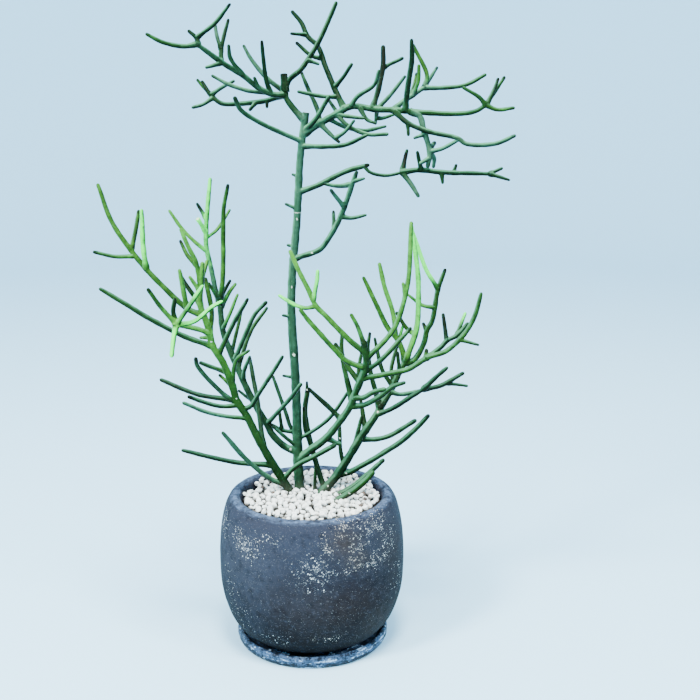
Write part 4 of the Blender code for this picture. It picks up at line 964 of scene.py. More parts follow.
print("forks with a crease over", round(math.degrees(FORK_CREASE)), "degrees are softened")

# %% [markdown]
# ## Scars
# Where a limb was cut or broken off, the stem keeps a pale corky scar. The ones that show are named
# here, as drawn places on their stem with a size in millimetres. Each cut end is one too, and the
# tall stem has a pale ring where it once stopped growing for a season.

# %% The scars that show
SCARS = {
    "tall_stem": [(-1.85, 38.0, 2.6), (-1.75, 25.4, 1.5), (-1.5, 23.6, 1.4), (-2.1, 46.5, 1.6),
                  (-1.3, 55.0, 1.6), (-2.6, 25.6, 2.2), (0.2, 50.9, 1.6)],
    "left_stem": [(-3.2, 20.6, 1.8), (-9.4, 32.4, 1.4), (-12.3, 39.6, 1.6)],
    "right_stem": [(2.3, 20.4, 1.8), (4.4, 22.3, 1.6), (3.7, 27.1, 1.5), (3.7, 26.4, 1.5),
                   (-0.5, 33.4, 1.6), (8.4, 30.6, 1.8)],
    "low_shoot_front": [(4.8, 19.7, 1.6)],
}
RINGS = {"tall_stem": [(-1.3, 55.82)]}
RING_MARK = 0.58


def scar_places(name, found):
    """The middle of each scar on the skin that faces the eye, with its size in metres."""
    middles = []
    for x, z, size in SCARS.get(name, []):
        away = [(math.hypot(row[0] - x, row[1] - z), tuple(row)) for _, rows in found
                for row in rows]
        row = min(away)[1]
        place = seen_at(*row[:3])
        toward = (EYE * CM - place).normalized()
        middles.append((place + toward * row[RADIUS] * MM, size * MM))
    for drawn, rows in found:
        if drawn["cut"]:
            middles.append((in_room(rows)[-1], rows[-1][RADIUS] * MM))
    return middles


print("scars:", sum(len(scars) for scars in SCARS.values()), "and the cut ends")

# %% [markdown]
# ## What each point of the skin carries
# The finish has to know how young the skin is, how much pale bloom lies on it, where the scars are
# and which side of its twig it is on, because light and shade are painted on: the side towards the
# key lamp gets a painted highlight, and the side turned away gets painted shade. Each point of the
# fused mesh asks for the limb whose own surface it lies on, which is the one whose distance is
# nearest to that limb's radius. The side is measured across the twig in the plane of the fan, so
# that it does not matter how far a twig leans back.

# %% Storing tones, and the sides for painted light and shade, on the points
ASKED = 8
# The direction of the painted light in the plane of the fan: up and to the left, towards the key
# lamp
SUNWARD = np.array([-0.45, 0.89])
PAINTED_LIGHT_STRENGTH = 1.5
SCAR_MIDDLE, SCAR_FALL = 1.4, 1.2


def store(piece, name, values):
    """Gives a piece's points a number each."""
    numbers = piece.data.attributes.new(name, "FLOAT", "POINT")
    numbers.data.foreach_set("value", np.asarray(values, np.float32))


def read_points(piece, what="co"):
    """A piece's points, or their normals, as rows of x, y, z."""
    numbers = np.empty(len(piece.data.vertices) * 3, np.float32)
    piece.data.vertices.foreach_get(what, numbers)
    return numbers.reshape(-1, 3)


def owners(piece, found):
    """For each point, which of all the courses' rows it belongs to."""
    radii = np.hstack([rows[:, RADIUS] for _, rows in found]) * MM
    places = [place for _, rows in found for place in in_room(rows)]
    tree = kdtree.KDTree(len(places))
    for number, place in enumerate(places):
        tree.insert(place, number)
    tree.balance()
    return [min(tree.find_n(Vector(spot), ASKED), key=lambda hit: hit[2] - radii[hit[1]])[1]
            for spot in read_points(piece)]


def store_tones(piece, found, picked):
    """Stores young, mint, dark and the side for painted light, from 0 on the side for painted shade
    to 1 on the side for a painted highlight.
    """
    rows = np.vstack([rows for _, rows in found])[picked]
    for name, tone in zip(("young", "mint", "dark"), rows[:, TONE].T):
        store(piece, name, tone)
    along = np.vstack([np.gradient(rows[:, :2], axis=0) for _, rows in found])[picked]
    along /= np.linalg.norm(along, axis=1)[:, None]
    across = SUNWARD - (along @ SUNWARD)[:, None] * along
    facing = (read_points(piece, "normal")[:, [0, 2]] * across).sum(axis=1)
    # Painted light: near 1 on the side of a twig turned towards SUNWARD, near 0 on the side turned
    # away
    store(piece, "flank", np.clip(0.5 + 0.5 * PAINTED_LIGHT_STRENGTH * facing, 0.0, 1.0))


def ring_marks(name, found, picked):
    """A mark on the points of the stem's own rings that lie at its pale rings."""
    trunk = found[0][1]
    marks = np.zeros(len(picked))
    for x, z in RINGS.get(name, []):
        nearest = np.hypot(trunk[:, 0] - x, trunk[:, 1] - z).argmin()
        marks[np.array(picked) == nearest] = RING_MARK
    return marks


def store_scars(piece, middles, marks):
    """1 in the middle of a scar, 0 outside it, over the marks that are there already."""
    spots = read_points(piece)
    for middle, size in middles:
        away = np.linalg.norm(spots - np.array(middle), axis=1)
        marks = np.maximum(marks, np.clip(SCAR_MIDDLE - SCAR_FALL * away / size, 0.0, 1.0))
    store(piece, "scar", marks)


print("every point asks", ASKED, "places")

# %% [markdown]
# ## The six stems
# Every stem takes the place of its plain solid. Its foot goes straight down through the gravel, as
# the solid's does, and stands in the soil.

# %% Growing the stems
BROWN_TIPS_BELOW = 0.6
INSIDE_PARENT = 0.9
STEM_FOOT = 148 * MM
GROWTH_SEED = 11

chance = random.Random(GROWTH_SEED)
stems = []
for name, (drawn, back, tone, slot) in STANDING_STEMS.items():
    found = courses(drawn, back, np.array(TONES[tone]))
    tubes = []
    for drawn_limb, rows in found:
        places = in_room(rows)
        is_stem = drawn_limb is drawn
        wood = 0.0 if is_stem else INSIDE_PARENT * drawn_limb["wide"] / 2
        tapering = 0.0 if drawn_limb["cut"] else chance.uniform(*TAPER)
        if rows[-1, YOUNG] < BROWN_TIPS_BELOW:
            rows[-2:, DARK] = chance.random()
        radii = [radius * (1.0 + KNOBS * noise.noise(place / KNOB_LUMP))
                 for place, radius in zip(places, girths(rows, wood, tapering))]
        if is_stem:
            foot = places[0].copy()
            foot.z = STEM_FOOT
            places.insert(0, foot)
            radii.insert(0, radii[0])
        sides = next(count for least, count in SIDES if drawn_limb["wide"] / 2 >= least)
        tubes.append(sweep(stations(places, radii, drawn_limb["cut"]), sides))
    shape = fuse(name, tubes)
    softened = soften_forks(shape)
    loose = sum(not edge.is_manifold for edge in shape.edges)
    stem = piece_from(shape, name + "_skin", smooth_below=70.0)
    picked = owners(stem, found)
    store_tones(stem, found, picked)
    store_scars(stem, scar_places(name, found), ring_marks(name, found, picked))
    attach(stem, body)
    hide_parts(name)
    stems.append(stem)
    stem.data.calc_loop_triangles()
    print(name, "limbs", len(found), "triangles", len(stem.data.loop_triangles), "softened",
          softened, "open edges", loose)

# %% [markdown]
# ## The skin
# The old wood is a deep, cool green, the twigs of the crown carry a pale blue-green bloom, and the
# youngest tips in the bush are lime. All of these are one skin at different ages, so there is one
# finish: the stored age picks the green, the stored bloom lays the pale green over it, and noise at
# three scales breaks both up. Light and shade are painted on too: a painted highlight on the side
# of each twig towards the key lamp, and painted shade on the side turned away. Small pale pores and
# the corky scars come last.

# %% The cactus skin
OLD_GREEN = (0.0034, 0.0148, 0.0042)
LEAF_GREEN = (0.0125, 0.0480, 0.0056)
LIME_GREEN = (0.0660, 0.2200, 0.0250)
BLUE_GREEN = (0.0270, 0.0780, 0.0420)
MINT_GREEN = (0.0500, 0.8000, 0.0700)
SHADE_GREEN = (0.0006, 0.0040, 0.0018)
HIGHLIGHT_GREEN = (0.1400, 0.4400, 0.2200)
BARK = (0.0550, 0.0620, 0.0430)
TIP_BROWN = (0.0024, 0.0036, 0.0018)
PORE_GREEN = (0.200, 0.380, 0.220)
CORK = (0.480, 0.520, 0.380)

skin = Finish("cactus_skin", roughness=0.36, shine=0.03)
mottle = skin.grain(11 * MM, 3.0) - 0.5
speckle = skin.grain(1.3 * MM, 2.0) - 0.5
young = skin.stored("young")
age = young + mottle * 0.5 + speckle * 0.25
green = skin.node("ShaderNodeValToRGB", {"stops": [(0.0, OLD_GREEN), (0.5, LEAF_GREEN),
                                                   (1.0, LIME_GREEN)]}, {"Fac": age})
bloom = skin.node("ShaderNodeValToRGB", {"stops": [(0.35, BLUE_GREEN), (0.90, MINT_GREEN)]},
                  {"Fac": age})
bloomed = skin.blend(green, bloom, (skin.stored("mint") + mottle * 0.7).within(0.02, 0.92))
flank = skin.stored("flank") + mottle * 0.30
smutty = skin.grain(5 * MM, 4.0).within(0.48, 0.72)
# Painted shade: the side of each twig turned from the key lamp goes to the shade green, with dark
# mottled spots on top
deep = skin.blend(bloomed, SHADE_GREEN, (1 - flank.within(0.04, 0.55)) * 0.92 + smutty * 0.30)
lit_share = 0.31 - young * 0.10 + skin.stored("mint") * 0.24
# Painted highlight: the side of each twig towards the key lamp is lightened to a pale green
lit = skin.blend(deep, HIGHLIGHT_GREEN, flank.within(0.60, 0.96) * lit_share)
woody = (1 - (skin.up() + mottle * 0.03).within(0.194, 0.218)) * 0.5
barked = skin.blend(lit, BARK, woody)
shaded = skin.blend(barked, TIP_BROWN, skin.stored("dark") * 0.94)
pores = (1 - skin.cells(3.6 * MM).within(0.05, 0.13)) * 0.32
pored = skin.blend(shaded, PORE_GREEN, pores)
scars = (skin.stored("scar") + speckle * 0.9).within(0.35, 0.6)
skin.shade("Base Color", skin.blend(pored, CORK, scars))
skin.shade("Roughness", 0.34 + scars * 0.4 + mottle * 0.12)
skin.height(mottle * 0.5 + speckle * 0.25 + pores * 0.15 + scars * 0.3, 0.5 * MM)
skin.wear(*stems)
print("the skin's finish has", len(skin.tree.nodes), "nodes")

# %% [markdown]
# ## The pot
# The pot is thrown and burnished stoneware, smoked blue and charcoal, with a thick round lip. It is
# turned from one profile, inside and outside, through the same points as the solid's. A real thrown
# pot is never quite round, so its points are then pushed in and out a little by noise.

# %% The pot's profile, in millimetres
POT_OUTSIDE = [(106.5, 193.0), (109.6, 187.0), (115.6, 163.0), (118.8, 136.0), (119.5, 110.0),
               (118.0, 80.0), (112.5, 56.0), (103.0, 34.0), (86.0, 16.0), (70.0, 8.2), (65.0, 7.3)]
POT_INSIDE = [(11.0, 7.3), (11.0, 23.0), (58.0, 23.0), (88.0, 38.6), (101.0, 63.0), (105.5, 96.0),
              (104.0, 129.0), (96.0, 158.6), (90.0, 176.0)]
LIP_MIDDLE, LIP_ROUND = (98.5, 190.1), 8.5
LIP_FROM, LIP_TO, LIP_STEPS = 180, 22, 18
POT_STEPS = 168
WALL_STEP = 2.4
OUT_OF_ROUND = ((0.55, 70.0), (0.16, 13.0))


def thrown(profile, steps):
    """A bmesh turned from a profile of (radius, height) in millimetres."""
    shape = bmesh.new()
    turn(shape, [(radius * MM, height * MM) for radius, height in profile], steps)
    bmesh.ops.recalc_face_normals(shape, faces=shape.faces)
    return shape


def uneven(corners, lumps):
    """Pushes points in or out along their normals by noise, as (depth, lump) in mm."""
    for corner in corners:
        push = sum(depth * noise.noise(corner.co / (lump * MM)) for depth, lump in lumps)
        corner.co += corner.normal * push * MM


outside = [tuple(row) for row in smooth(POT_OUTSIDE, WALL_STEP)]
lip = arc(LIP_MIDDLE, LIP_ROUND, LIP_FROM, LIP_TO, LIP_STEPS)
shape = thrown(POT_INSIDE + lip + outside + [POT_INSIDE[0]], POT_STEPS)
shape.normal_update()
uneven(shape.verts, OUT_OF_ROUND)
pot = piece_from(shape, "thrown_pot", smooth_below=50.0)
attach(pot, body)
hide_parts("pot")
print("pot:", len(pot.data.polygons), "faces")

# %% [markdown]
# ## Where the pot is worn
# White and sand-coloured flecks sit in patches on the pot, as if rubbed with chalk. A patch has a
# place: how many degrees it lies to the right of the front, and its height. Each point of the pot
# gets five numbers from the patches: how many flecks it has, how sandy they are, and how warm, how
# pale and how smoked the clay under them is. The patches on the back, which nobody has seen, are
# made in the same manner.

# %% Patches as (degrees right, mm up, half width in degrees, half height in mm, amount)
CHALK = [(-50, 168, 8, 6, 0.8), (-42, 161, 7, 7, 0.8), (-36, 153, 4, 8, 0.6),
         (-74, 170, 9, 11, 0.5), (22, 192, 5, 5, 0.8), (17, 184, 4, 6, 0.9), (12, 170, 4, 7, 0.9),
         (46, 186, 11, 9, 0.7), (34, 173, 5, 8, 0.7), (29, 152, 4, 11, 1.0), (44, 142, 8, 6, 1.0),
         (56, 156, 6, 12, 0.5), (3, 140, 6, 13, 0.8), (20, 139, 11, 4, 0.4),
         (-27, 176, 9, 5, 0.35), (14, 48, 10, 3, 0.55), (-22, 43, 8, 5, 0.35),
         (-58, 100, 4, 26, 0.2), (66, 106, 6, 16, 0.25), (-50, 70, 8, 20, 0.15),
         (128, 166, 10, 9, 0.8), (158, 142, 9, 10, 0.7), (-162, 176, 8, 6, 0.8),
         (-128, 138, 10, 9, 0.7), (-146, 62, 9, 8, 0.5), (104, 84, 8, 14, 0.4),
         (178, 88, 7, 12, 0.5)]
SAND = [(17, 182, 9, 18, 1.0), (29, 152, 7, 14, 1.0), (46, 186, 12, 9, 0.5), (44, 142, 9, 8, 0.6),
        (14, 48, 14, 6, 0.9), (158, 142, 12, 14, 0.9), (-146, 62, 12, 12, 0.7)]
WARM = [(24, 172, 9, 14, 1.0), (30, 150, 8, 12, 0.8), (49, 56, 12, 18, 0.7), (6, 84, 26, 26, 0.45),
        (58, 156, 14, 24, 0.6), (150, 150, 16, 22, 0.8), (-120, 80, 18, 22, 0.5)]
PALE = [(-44, 134, 26, 36, 0.50), (112, 120, 24, 34, 0.45), (-140, 140, 22, 30, 0.35)]
SMOKED = [(36, 90, 26, 34, 0.65), (64, 98, 12, 38, 0.75), (-170, 84, 30, 34, 0.55)]


def patched(spots, patches):
    """The strongest of the patches at each point, fading out round each middle."""
    azimuth = np.degrees(np.arctan2(spots[:, 0], -spots[:, 1]))
    height = spots[:, 2] / MM
    amounts = np.zeros(len(spots))
    for across, up, wide, tall, amount in patches:
        aside = (azimuth - across + 180.0) % 360.0 - 180.0
        fading = np.exp(-0.5 * ((aside / wide) ** 2 + ((height - up) / tall) ** 2))
        amounts = np.maximum(amounts, amount * fading)
    return amounts


spots = read_points(pot)
for name, patches in (("chalk", CHALK), ("sand", SAND), ("warm", WARM), ("pale", PALE),
                      ("smoked", SMOKED)):
    store(pot, name, patched(spots, patches))
    print(name, "patches:", len(patches))

# %% [markdown]
# ## The pot's clay
# The colour goes from slate blue at the lip to charcoal at the foot: partly the clay's own colours,
# partly painted shade towards the foot. It is clouded by the smoke of the kiln, with a faint haze
# along the throwing lines, and the top of the lip is painted paler blue, partly as scuffs and
# partly as a painted highlight. The lines are noise squeezed in height, so that its lumps lie flat.
# Noise cut off at a level would make worms, not flecks, so each fleck is the middle of one cell of
# a cell
# texture: the cell's own colour is chance, and it shows where chance is below the patch's amount.

# %% The pot's finish
SLATE = (0.0215, 0.0248, 0.0370)
CHARCOAL = (0.0042, 0.0035, 0.0047)
SOOT = (0.0050, 0.0044, 0.0054)
WARM_CLAY = (0.0300, 0.0225, 0.0195)
PALE_CLAY = (0.0370, 0.0380, 0.0490)
SMOKED_CLAY = (0.0110, 0.0072, 0.0068)
HAZE = (0.0480, 0.0510, 0.0680)
LIP_BLUE_AND_HIGHLIGHT = (0.1000, 0.1600, 0.2600)
CHALK_WHITE = (0.780, 0.800, 0.790)
SAND_COLOR = (0.640, 0.520, 0.400)
FLATTENED = (0.12, 0.12, 1.0)
FLECK_EDGE, FLECK_GROWTH = (0.10, 0.22), 0.26


def flecked(finish, cell, amount, place):
    """Flecks in cells of a size in metres, as many as amount says, at the coordinates of place."""
    away = finish.cells(cell, place)
    own = finish.node("ShaderNodeSeparateColor", inputs={0: away.sibling("Color")})
    shown = (amount - own).within(0.0, 0.04)
    return shown * (1 - (away - own.sibling("Green") * FLECK_GROWTH).within(*FLECK_EDGE))


clay = Finish("pot_clay", roughness=0.75, shine=0.03)
up = clay.up()
cloud = clay.grain(55 * MM, 4.0) - 0.5
grit = clay.grain(3.2 * MM, 4.0) - 0.5
lines = clay.grain(1.4 * MM, 3.0, clay.squeezed(FLATTENED)) - 0.5
# Darker towards the foot: partly the clay's own charcoal, partly painted shade
upper = (up + cloud * 0.16).within(0.020, 0.205)
ground = clay.blend(CHARCOAL, SLATE, upper)
paled = clay.blend(ground, PALE_CLAY, clay.stored("pale"))
smoked = clay.blend(paled, SMOKED_CLAY, clay.stored("smoked"))
warmed = clay.blend(smoked, WARM_CLAY, clay.stored("warm") * 0.7)
smudge = clay.grain(9 * MM, 5.0) - 0.5
sooty = clay.blend(warmed, SOOT, (smudge + cloud * 0.4 - lines * 0.3).within(0.02, 0.26) * 0.55)
haze = (lines * 0.6 + grit * 0.8 - smudge * 0.7).within(0.02, 0.42) * 0.50
# The top of the lip is painted paler blue, broken by noise: partly scuffs, partly a painted
# highlight
lip_paling_and_highlight = up.within(0.1925, 0.1995) * (0.42 + grit * 0.9 - smudge * 0.9 + lines * 1.2)
hazed = clay.blend(clay.blend(sooty, HAZE, haze), LIP_BLUE_AND_HIGHLIGHT, lip_paling_and_highlight.within(0.0, 1.0))
chalk = clay.stored("chalk")
wander = clay.grain(1.1 * MM, 3.0).sibling("Color")
shift = clay.node("ShaderNodeVectorMath", {"operation": "SCALE"}, {0: wander, "Scale": 1.7 * MM})
ragged = clay.node("ShaderNodeVectorMath", {"operation": "ADD"}, {0: clay.place(), 1: shift})
clump = clay.grain(8 * MM, 3.0).within(0.32, 0.66)
fine = flecked(clay, 1.2 * MM, chalk * clump * 0.80 + 0.012, ragged)
coarse = flecked(clay, 2.1 * MM, chalk * clump * 0.38 + 0.006, ragged)
dust = (clay.grain(1.0 * MM, 3.0) + chalk * clump * 0.12).within(0.62, 0.76) * 0.35
flecks = (fine + coarse + dust).within(0.0, 0.9)
fleck_color = clay.blend(CHALK_WHITE, SAND_COLOR, clay.stored("sand") * 0.8)
clay.shade("Base Color", clay.blend(hazed, fleck_color, flecks * 0.9))
clay.shade("Roughness", 0.66 + flecks * 0.25 + grit * 0.2)
clay.height(grit * 0.5 + lines * 0.2 + flecks * 0.3, 0.35 * MM)
clay.wear(pot)
print("the clay's finish has", len(clay.tree.nodes), "nodes")

# %% [markdown]
# ## The saucer
# The saucer is of the same clay, but paler and rougher: its edge is chipped and scored all round.
# It is turned as the pot is, with a low wall, and noise roughens its outer edge.

# %% The saucer
SAUCER_STEPS = 160
SAUCER_EDGE, EDGE_ROUND = (95.0, 12.4), 3.5
EDGE_FROM, EDGE_TO, EDGE_STEPS = 160, 0, 8
SAUCER_BASE = [(98.3, 11.0), (98.5, 8.0), (97.8, 5.0), (96.4, 2.4), (94.6, 0.5), (93.0, 0.0),
               (40.0, 0.0), (0.0, 0.0)]
SAUCER_FLOOR = [(0.0, 7.0), (50.0, 7.0), (86.0, 7.0), (88.0, 7.2), (89.6, 8.2), (90.8, 10.2)]
CHIPPED = ((0.50, 26.0), (0.38, 6.0), (0.22, 2.2))
FINER_FROM = 92 * MM
CHIPS_FROM, CHIPS_ABOVE = 91 * MM, 1.0 * MM


def from_axis(place):
    """How far a place is from the saucer's axis."""
    return math.hypot(place.x, place.y)


edge = arc(SAUCER_EDGE, EDGE_ROUND, EDGE_FROM, EDGE_TO, EDGE_STEPS)
shape = thrown(SAUCER_FLOOR + edge + SAUCER_BASE, SAUCER_STEPS)
rim = [face for face in shape.faces if from_axis(face.calc_center_median()) > FINER_FROM]
rim_edges = list(dict.fromkeys(edge for face in rim for edge in face.edges))
bmesh.ops.subdivide_edges(shape, edges=rim_edges, cuts=1, use_grid_fill=True)
shape.normal_update()
uneven([corner for corner in shape.verts
        if from_axis(corner.co) > CHIPS_FROM and corner.co.z > CHIPS_ABOVE], CHIPPED)
saucer = piece_from(shape, "turned_saucer", smooth_below=50.0)
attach(saucer, body)
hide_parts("saucer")
print("saucer:", len(saucer.data.polygons), "faces")

# %% [markdown]
# ## The saucer's clay
# Its blue has worn through to near black in many places, and towards the foot it goes to the same
# near black as painted shade. Short pale dashes lie flat all round its wall: they are the pot's
# flecks in squeezed coordinates. Longer streaks are flattened noise, and the top of the edge is
# rubbed pale.

# %% The saucer's finish
SAUCER_BLUE = (0.050, 0.092, 0.165)
SAUCER_WORN_AND_SHADE = (0.005, 0.008, 0.014)
SCRATCH = (0.420, 0.580, 0.740)
DASHES = (0.22, 0.22, 1.0)

glaze = Finish("saucer_clay", roughness=0.6, shine=0.15)
up = glaze.up()
patch = glaze.grain(16 * MM, 5.0) - 0.5
grit = glaze.grain(2.4 * MM, 4.0) - 0.5
scored = glaze.grain(3.4 * MM, 5.0, glaze.squeezed(FLATTENED)) - 0.5
worn = (patch * 0.9 + scored * 0.6 + grit * 0.8).within(-0.11, 0.12)
blue = glaze.blend(SAUCER_WORN_AND_SHADE, SAUCER_BLUE, worn)
# Painted shade: darker towards the foot, where the saucer turns under
foot_shaded = glaze.blend(SAUCER_WORN_AND_SHADE, blue, (up + patch * 0.02 + scored * 0.02).within(0.002, 0.010))
dash_amount = glaze.grain(9 * MM, 3.0).within(0.40, 0.75) * 0.45 + 0.04
dashes = flecked(glaze, 1.3 * MM, dash_amount, glaze.squeezed(DASHES))
streaks = (scored + grit * 0.5 + patch * 0.4).within(0.11, 0.20)
rubbed = up.within(0.0135, 0.0160) * (0.30 + scored * 2.0 + grit)
chipped = (dashes * 0.7 + streaks * 0.8 + rubbed.within(0.0, 1.0) * 0.5).within(0.0, 1.0)
glaze.shade("Base Color", glaze.blend(foot_shaded, SCRATCH, chipped * 0.9))
glaze.shade("Roughness", 0.5 + chipped * 0.3 + grit * 0.2)
glaze.height(scored * 0.5 + grit * 0.8, 0.6 * MM)
glaze.wear(saucer)
print("the saucer's finish has", len(glaze.tree.nodes), "nodes")

# %% [markdown]
# ## The potting soil
# The soil fills the pot under the gravel. Its solid has the right shape and stays; it shows only
# in the gaps between stones, so it needs a dark, crumbly finish and nothing else.

# %% The soil's finish
HUMUS = (0.018, 0.012, 0.008)
CRUMB = (0.085, 0.060, 0.042)

soil = Finish("potting_soil", roughness=0.95)
crumbs = soil.grain(4 * MM, 5.0)
soil.shade("Base Color", soil.blend(HUMUS, CRUMB, crumbs.within(0.4, 0.68)))
soil.height(crumbs, 2 * MM)
soil.wear(frame["nodes"]["potting_soil"])
print("the soil's finish has", len(soil.tree.nodes), "nodes")

# %% [markdown]
# ## The pumice
# The top dressing is white pumice, broken stones of 5 to 14 mm. A particle system would scatter
# them, but they would float and cut into each other. Here a dozen stones are made and dropped one
# by one: each tries a few places, rolls to the lowest, and rests on the stones already there.

# %% A dozen stones
STONE_KINDS = 12
STONE_SEED = 5
STONE_ROUGH, STONE_LUMPS = 0.50, 1.5
NOISE_SPREAD = 50.0
STONE_CUTS, CUT_DEPTHS, CUT_SNAP = 8, (0.58, 0.84), 0.02
STRETCH = (0.85, 1.2)


def make_stone(chance):
    """A pebble of about radius 1: an icosphere, broken flat in a few places."""
    stone = bmesh.new()
    bmesh.ops.create_icosphere(stone, subdivisions=2, radius=1.0)
    start = Vector([chance.uniform(0.0, NOISE_SPREAD) for _ in range(3)])
    for corner in stone.verts:
        corner.co *= 1.0 + STONE_ROUGH * noise.noise(corner.co * STONE_LUMPS + start)
    for _ in range(STONE_CUTS):
        facing = Vector([chance.gauss(0.0, 1.0) for _ in range(3)]).normalized()
        cut = bmesh.ops.bisect_plane(stone, geom=stone.verts[:] + stone.edges[:] + stone.faces[:],
                                     dist=CUT_SNAP, plane_no=facing, clear_outer=True,
                                     plane_co=facing * chance.uniform(*CUT_DEPTHS))
        rim = [part for part in cut["geom_cut"] if isinstance(part, bmesh.types.BMEdge)]
        bmesh.ops.contextual_create(stone, geom=rim)
    scale = [chance.uniform(*STRETCH) for _ in range(3)]
    bmesh.ops.scale(stone, vec=scale, verts=stone.verts)
    bmesh.ops.recalc_face_normals(stone, faces=stone.faces)
    return stone


chance = random.Random(STONE_SEED)
kinds = [make_stone(chance) for _ in range(STONE_KINDS)]
print("stones' faces:", [len(stone.faces) for stone in kinds])

# %% [markdown]
# ## Dropping the stones
# Stones are treated as balls while they fall, a little smaller than they are, so that they settle
# into each other's hollows. None may stand higher than a gently mounded surface, which dips at two
# places along the wall.

# %% Where the stones come to rest, in millimetres
GRAVEL_BOTTOM = 176.0
GRAVEL_ROUND = 89.0
GRAVEL_EDGE, GRAVEL_MOUND = 199.0, 3.0
DIPS = [(-80.0, 30.0, 14.0, 11.0), (86.0, 18.0, 11.0, 9.0)]
STONE_SIZES = (2.4, 4.4, 6.8)
DROPS, TRIES = 9000, 7
DROP_SEED = 23
# In sizes of a stone: how near it may come to another, the wall or a stem, how high its middle
# lies on the bottom, and how far it rises over its middle
NESTLED, FROM_WALL, FROM_STEM, STANDS, RISES = 0.98, 0.9, 0.8, 0.85, 0.8


def gravel_limit(x, y):
    """How high the gravel may reach, in millimetres."""
    out = np.hypot(x, y) / GRAVEL_ROUND
    limit = GRAVEL_EDGE + GRAVEL_MOUND * (1.0 - out ** 2)
    for at_x, at_y, deep, wide in DIPS:
        limit = limit - deep * np.exp(-((x - at_x) ** 2 + (y - at_y) ** 2) / wide ** 2)
    return limit


feet = []
for drawn, back, *_ in STANDING_STEMS.values():
    foot = seen_at(*drawn["points"][0], back) / MM
    feet.append((foot.x, foot.y, drawn["wide"] / 2))
feet = np.array(feet)
chance = random.Random(DROP_SEED)
lain = np.empty((0, 4))
for _ in range(DROPS):
    size = chance.triangular(STONE_SIZES[0], STONE_SIZES[2], STONE_SIZES[1])
    best = None
    for _ in range(TRIES):
        turned = chance.uniform(0.0, 2 * math.pi)
        out = (GRAVEL_ROUND - FROM_WALL * size) * math.sqrt(chance.random())
        x, y = out * math.cos(turned), out * math.sin(turned)
        if (np.hypot(feet[:, 0] - x, feet[:, 1] - y) < feet[:, 2] + FROM_STEM * size).any():
            continue
        reach = NESTLED * (lain[:, 3] + size)
        gap = reach ** 2 - (lain[:, 0] - x) ** 2 - (lain[:, 1] - y) ** 2
        on = gap > 0.0
        rest = GRAVEL_BOTTOM + STANDS * size
        if on.any():
            rest = max(rest, (lain[on, 2] + np.sqrt(gap[on])).max())
        room = gravel_limit(x, y) - rest - RISES * size
        if room > 0.0 and (best is None or room > best[0]):
            best = (room, (x, y, rest, size))
    if best:
        lain = np.vstack([lain, best[1]])
print("stones:", len(lain))

# %% [markdown]
# ## All the stones as one piece
# Every stone that has come to rest is a copy of one of the dozen, turned any way round. The solid
# gravel is one node, so they are put together in one mesh. Each copy carries a tone of its own, and
# each of its points how far under the gravel's surface it lies, for the painted shade in the gaps.

# %% The gravel as one piece
BROWN_SIZE, BROWN_SHARE = 3.7, 0.05
BROWN_TONE, OTHER_TONES = 1.0, 0.9
GAP_SHADE_FROM, GAP_SHADE_OVER = 3.3, 4.0

shape = bmesh.new()
tone_of = shape.verts.layers.float.new("tone")
masters = []
for kind in kinds:
    mesh = bpy.data.meshes.new("stone")
    kind.to_mesh(mesh)
    kind.free()
    before = len(shape.verts), len(shape.edges), len(shape.faces)
    shape.from_mesh(mesh)
    bpy.data.meshes.remove(mesh)
    for parts in (shape.verts, shape.edges, shape.faces):
        parts.ensure_lookup_table()
    masters.append(shape.verts[before[0]:] + shape.edges[before[1]:] + shape.faces[before[2]:])
for x, y, z, size in lain:
    copy = bmesh.ops.duplicate(shape, geom=chance.choice(masters))["geom"]
    corners = [part for part in copy if isinstance(part, bmesh.types.BMVert)]
    turned = Quaternion([chance.gauss(0.0, 1.0) for _ in range(4)]).normalized()
    placed = Matrix.LocRotScale(Vector((x, y, z)) * MM, turned, Vector((size,) * 3) * MM)
    bmesh.ops.transform(shape, matrix=placed, verts=corners)
    is_brown = size < BROWN_SIZE and chance.random() < BROWN_SHARE
    tone = BROWN_TONE if is_brown else OTHER_TONES * chance.random()
    for corner in corners:
        corner[tone_of] = tone
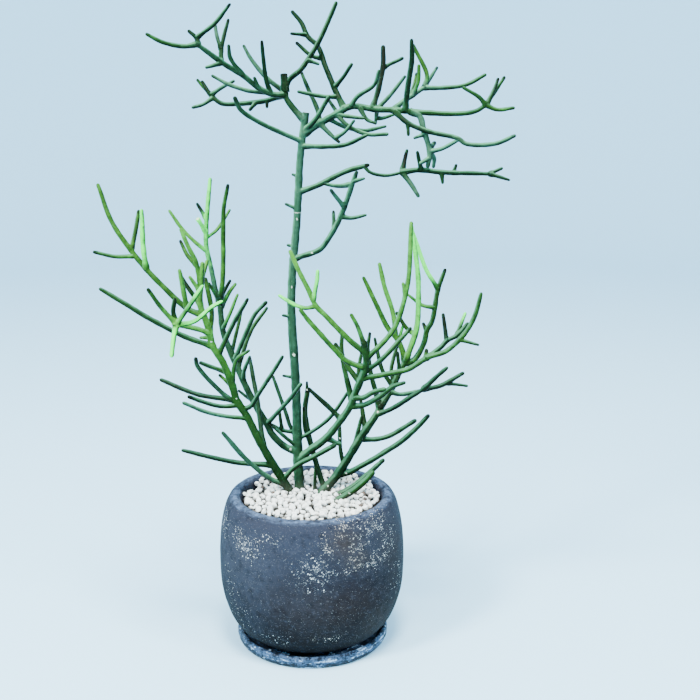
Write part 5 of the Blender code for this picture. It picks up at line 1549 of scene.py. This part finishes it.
spent = [part for master in masters for part in master if isinstance(part, bmesh.types.BMVert)]
bmesh.ops.delete(shape, geom=spent, context="VERTS")
gravel = piece_from(shape, "pumice_stones", smooth_below=16.0)
spots = read_points(gravel) / MM
under = gravel_limit(spots[:, 0], spots[:, 1]) - spots[:, 2]
# Painted shade in the gaps: how far under the gravel's surface each point lies
store(gravel, "sunk", np.clip((under - GAP_SHADE_FROM) / GAP_SHADE_OVER, 0.0, 1.0))
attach(gravel, body)
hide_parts("pumice_gravel")
gravel.data.calc_loop_triangles()
print("gravel:", len(gravel.data.loop_triangles), "triangles")

# %% [markdown]
# ## The pumice's finish
# Pumice is chalk white, some stones a little creamy, with tiny pores, whose pits are painted
# grey as shade. Shade is painted into the gaps between the stones as well: a point is the darker
# and browner the deeper it lies under the gravel's surface.

# %% The pumice's finish
PUMICE_WHITE = (0.96, 0.97, 0.90)
PUMICE_CREAM = (0.88, 0.86, 0.74)
PIT_SHADE_GREY = (0.42, 0.43, 0.42)
PUMICE_BROWN = (0.11, 0.08, 0.06)
GAP_SHADE_BROWN = (0.075, 0.062, 0.045)

pumice = Finish("pumice", roughness=0.92)
pitted = pumice.cells(1.1 * MM)
dusty = pumice.grain(2.4 * MM, 3.0)
creamed = pumice.blend(PUMICE_WHITE, PUMICE_CREAM,
                       (pumice.stored("tone") + dusty * 0.5).within(0.75, 1.45))
browned = pumice.blend(creamed, PUMICE_BROWN, pumice.stored("tone").within(0.945, 0.955))
# Painted shade in the pits of the pores: their middles are painted darker grey
pit_shaded = pumice.blend(browned, PIT_SHADE_GREY, (1 - pitted.within(0.05, 0.3)) * 0.22)
# Painted shade between the stones, soil brown, the darker the deeper a point lies
sunk = (pumice.stored("sunk") + (dusty - 0.5) * 0.5).within(0.05, 0.95)
pumice.shade("Base Color", pumice.blend(pit_shaded, GAP_SHADE_BROWN, sunk * 0.95))
pumice.height(pitted.within(0.0, 0.45) * 0.6 + dusty * 0.8, 0.8 * MM)
pumice.wear(gravel)
print("the pumice's finish has", len(pumice.tree.nodes), "nodes")
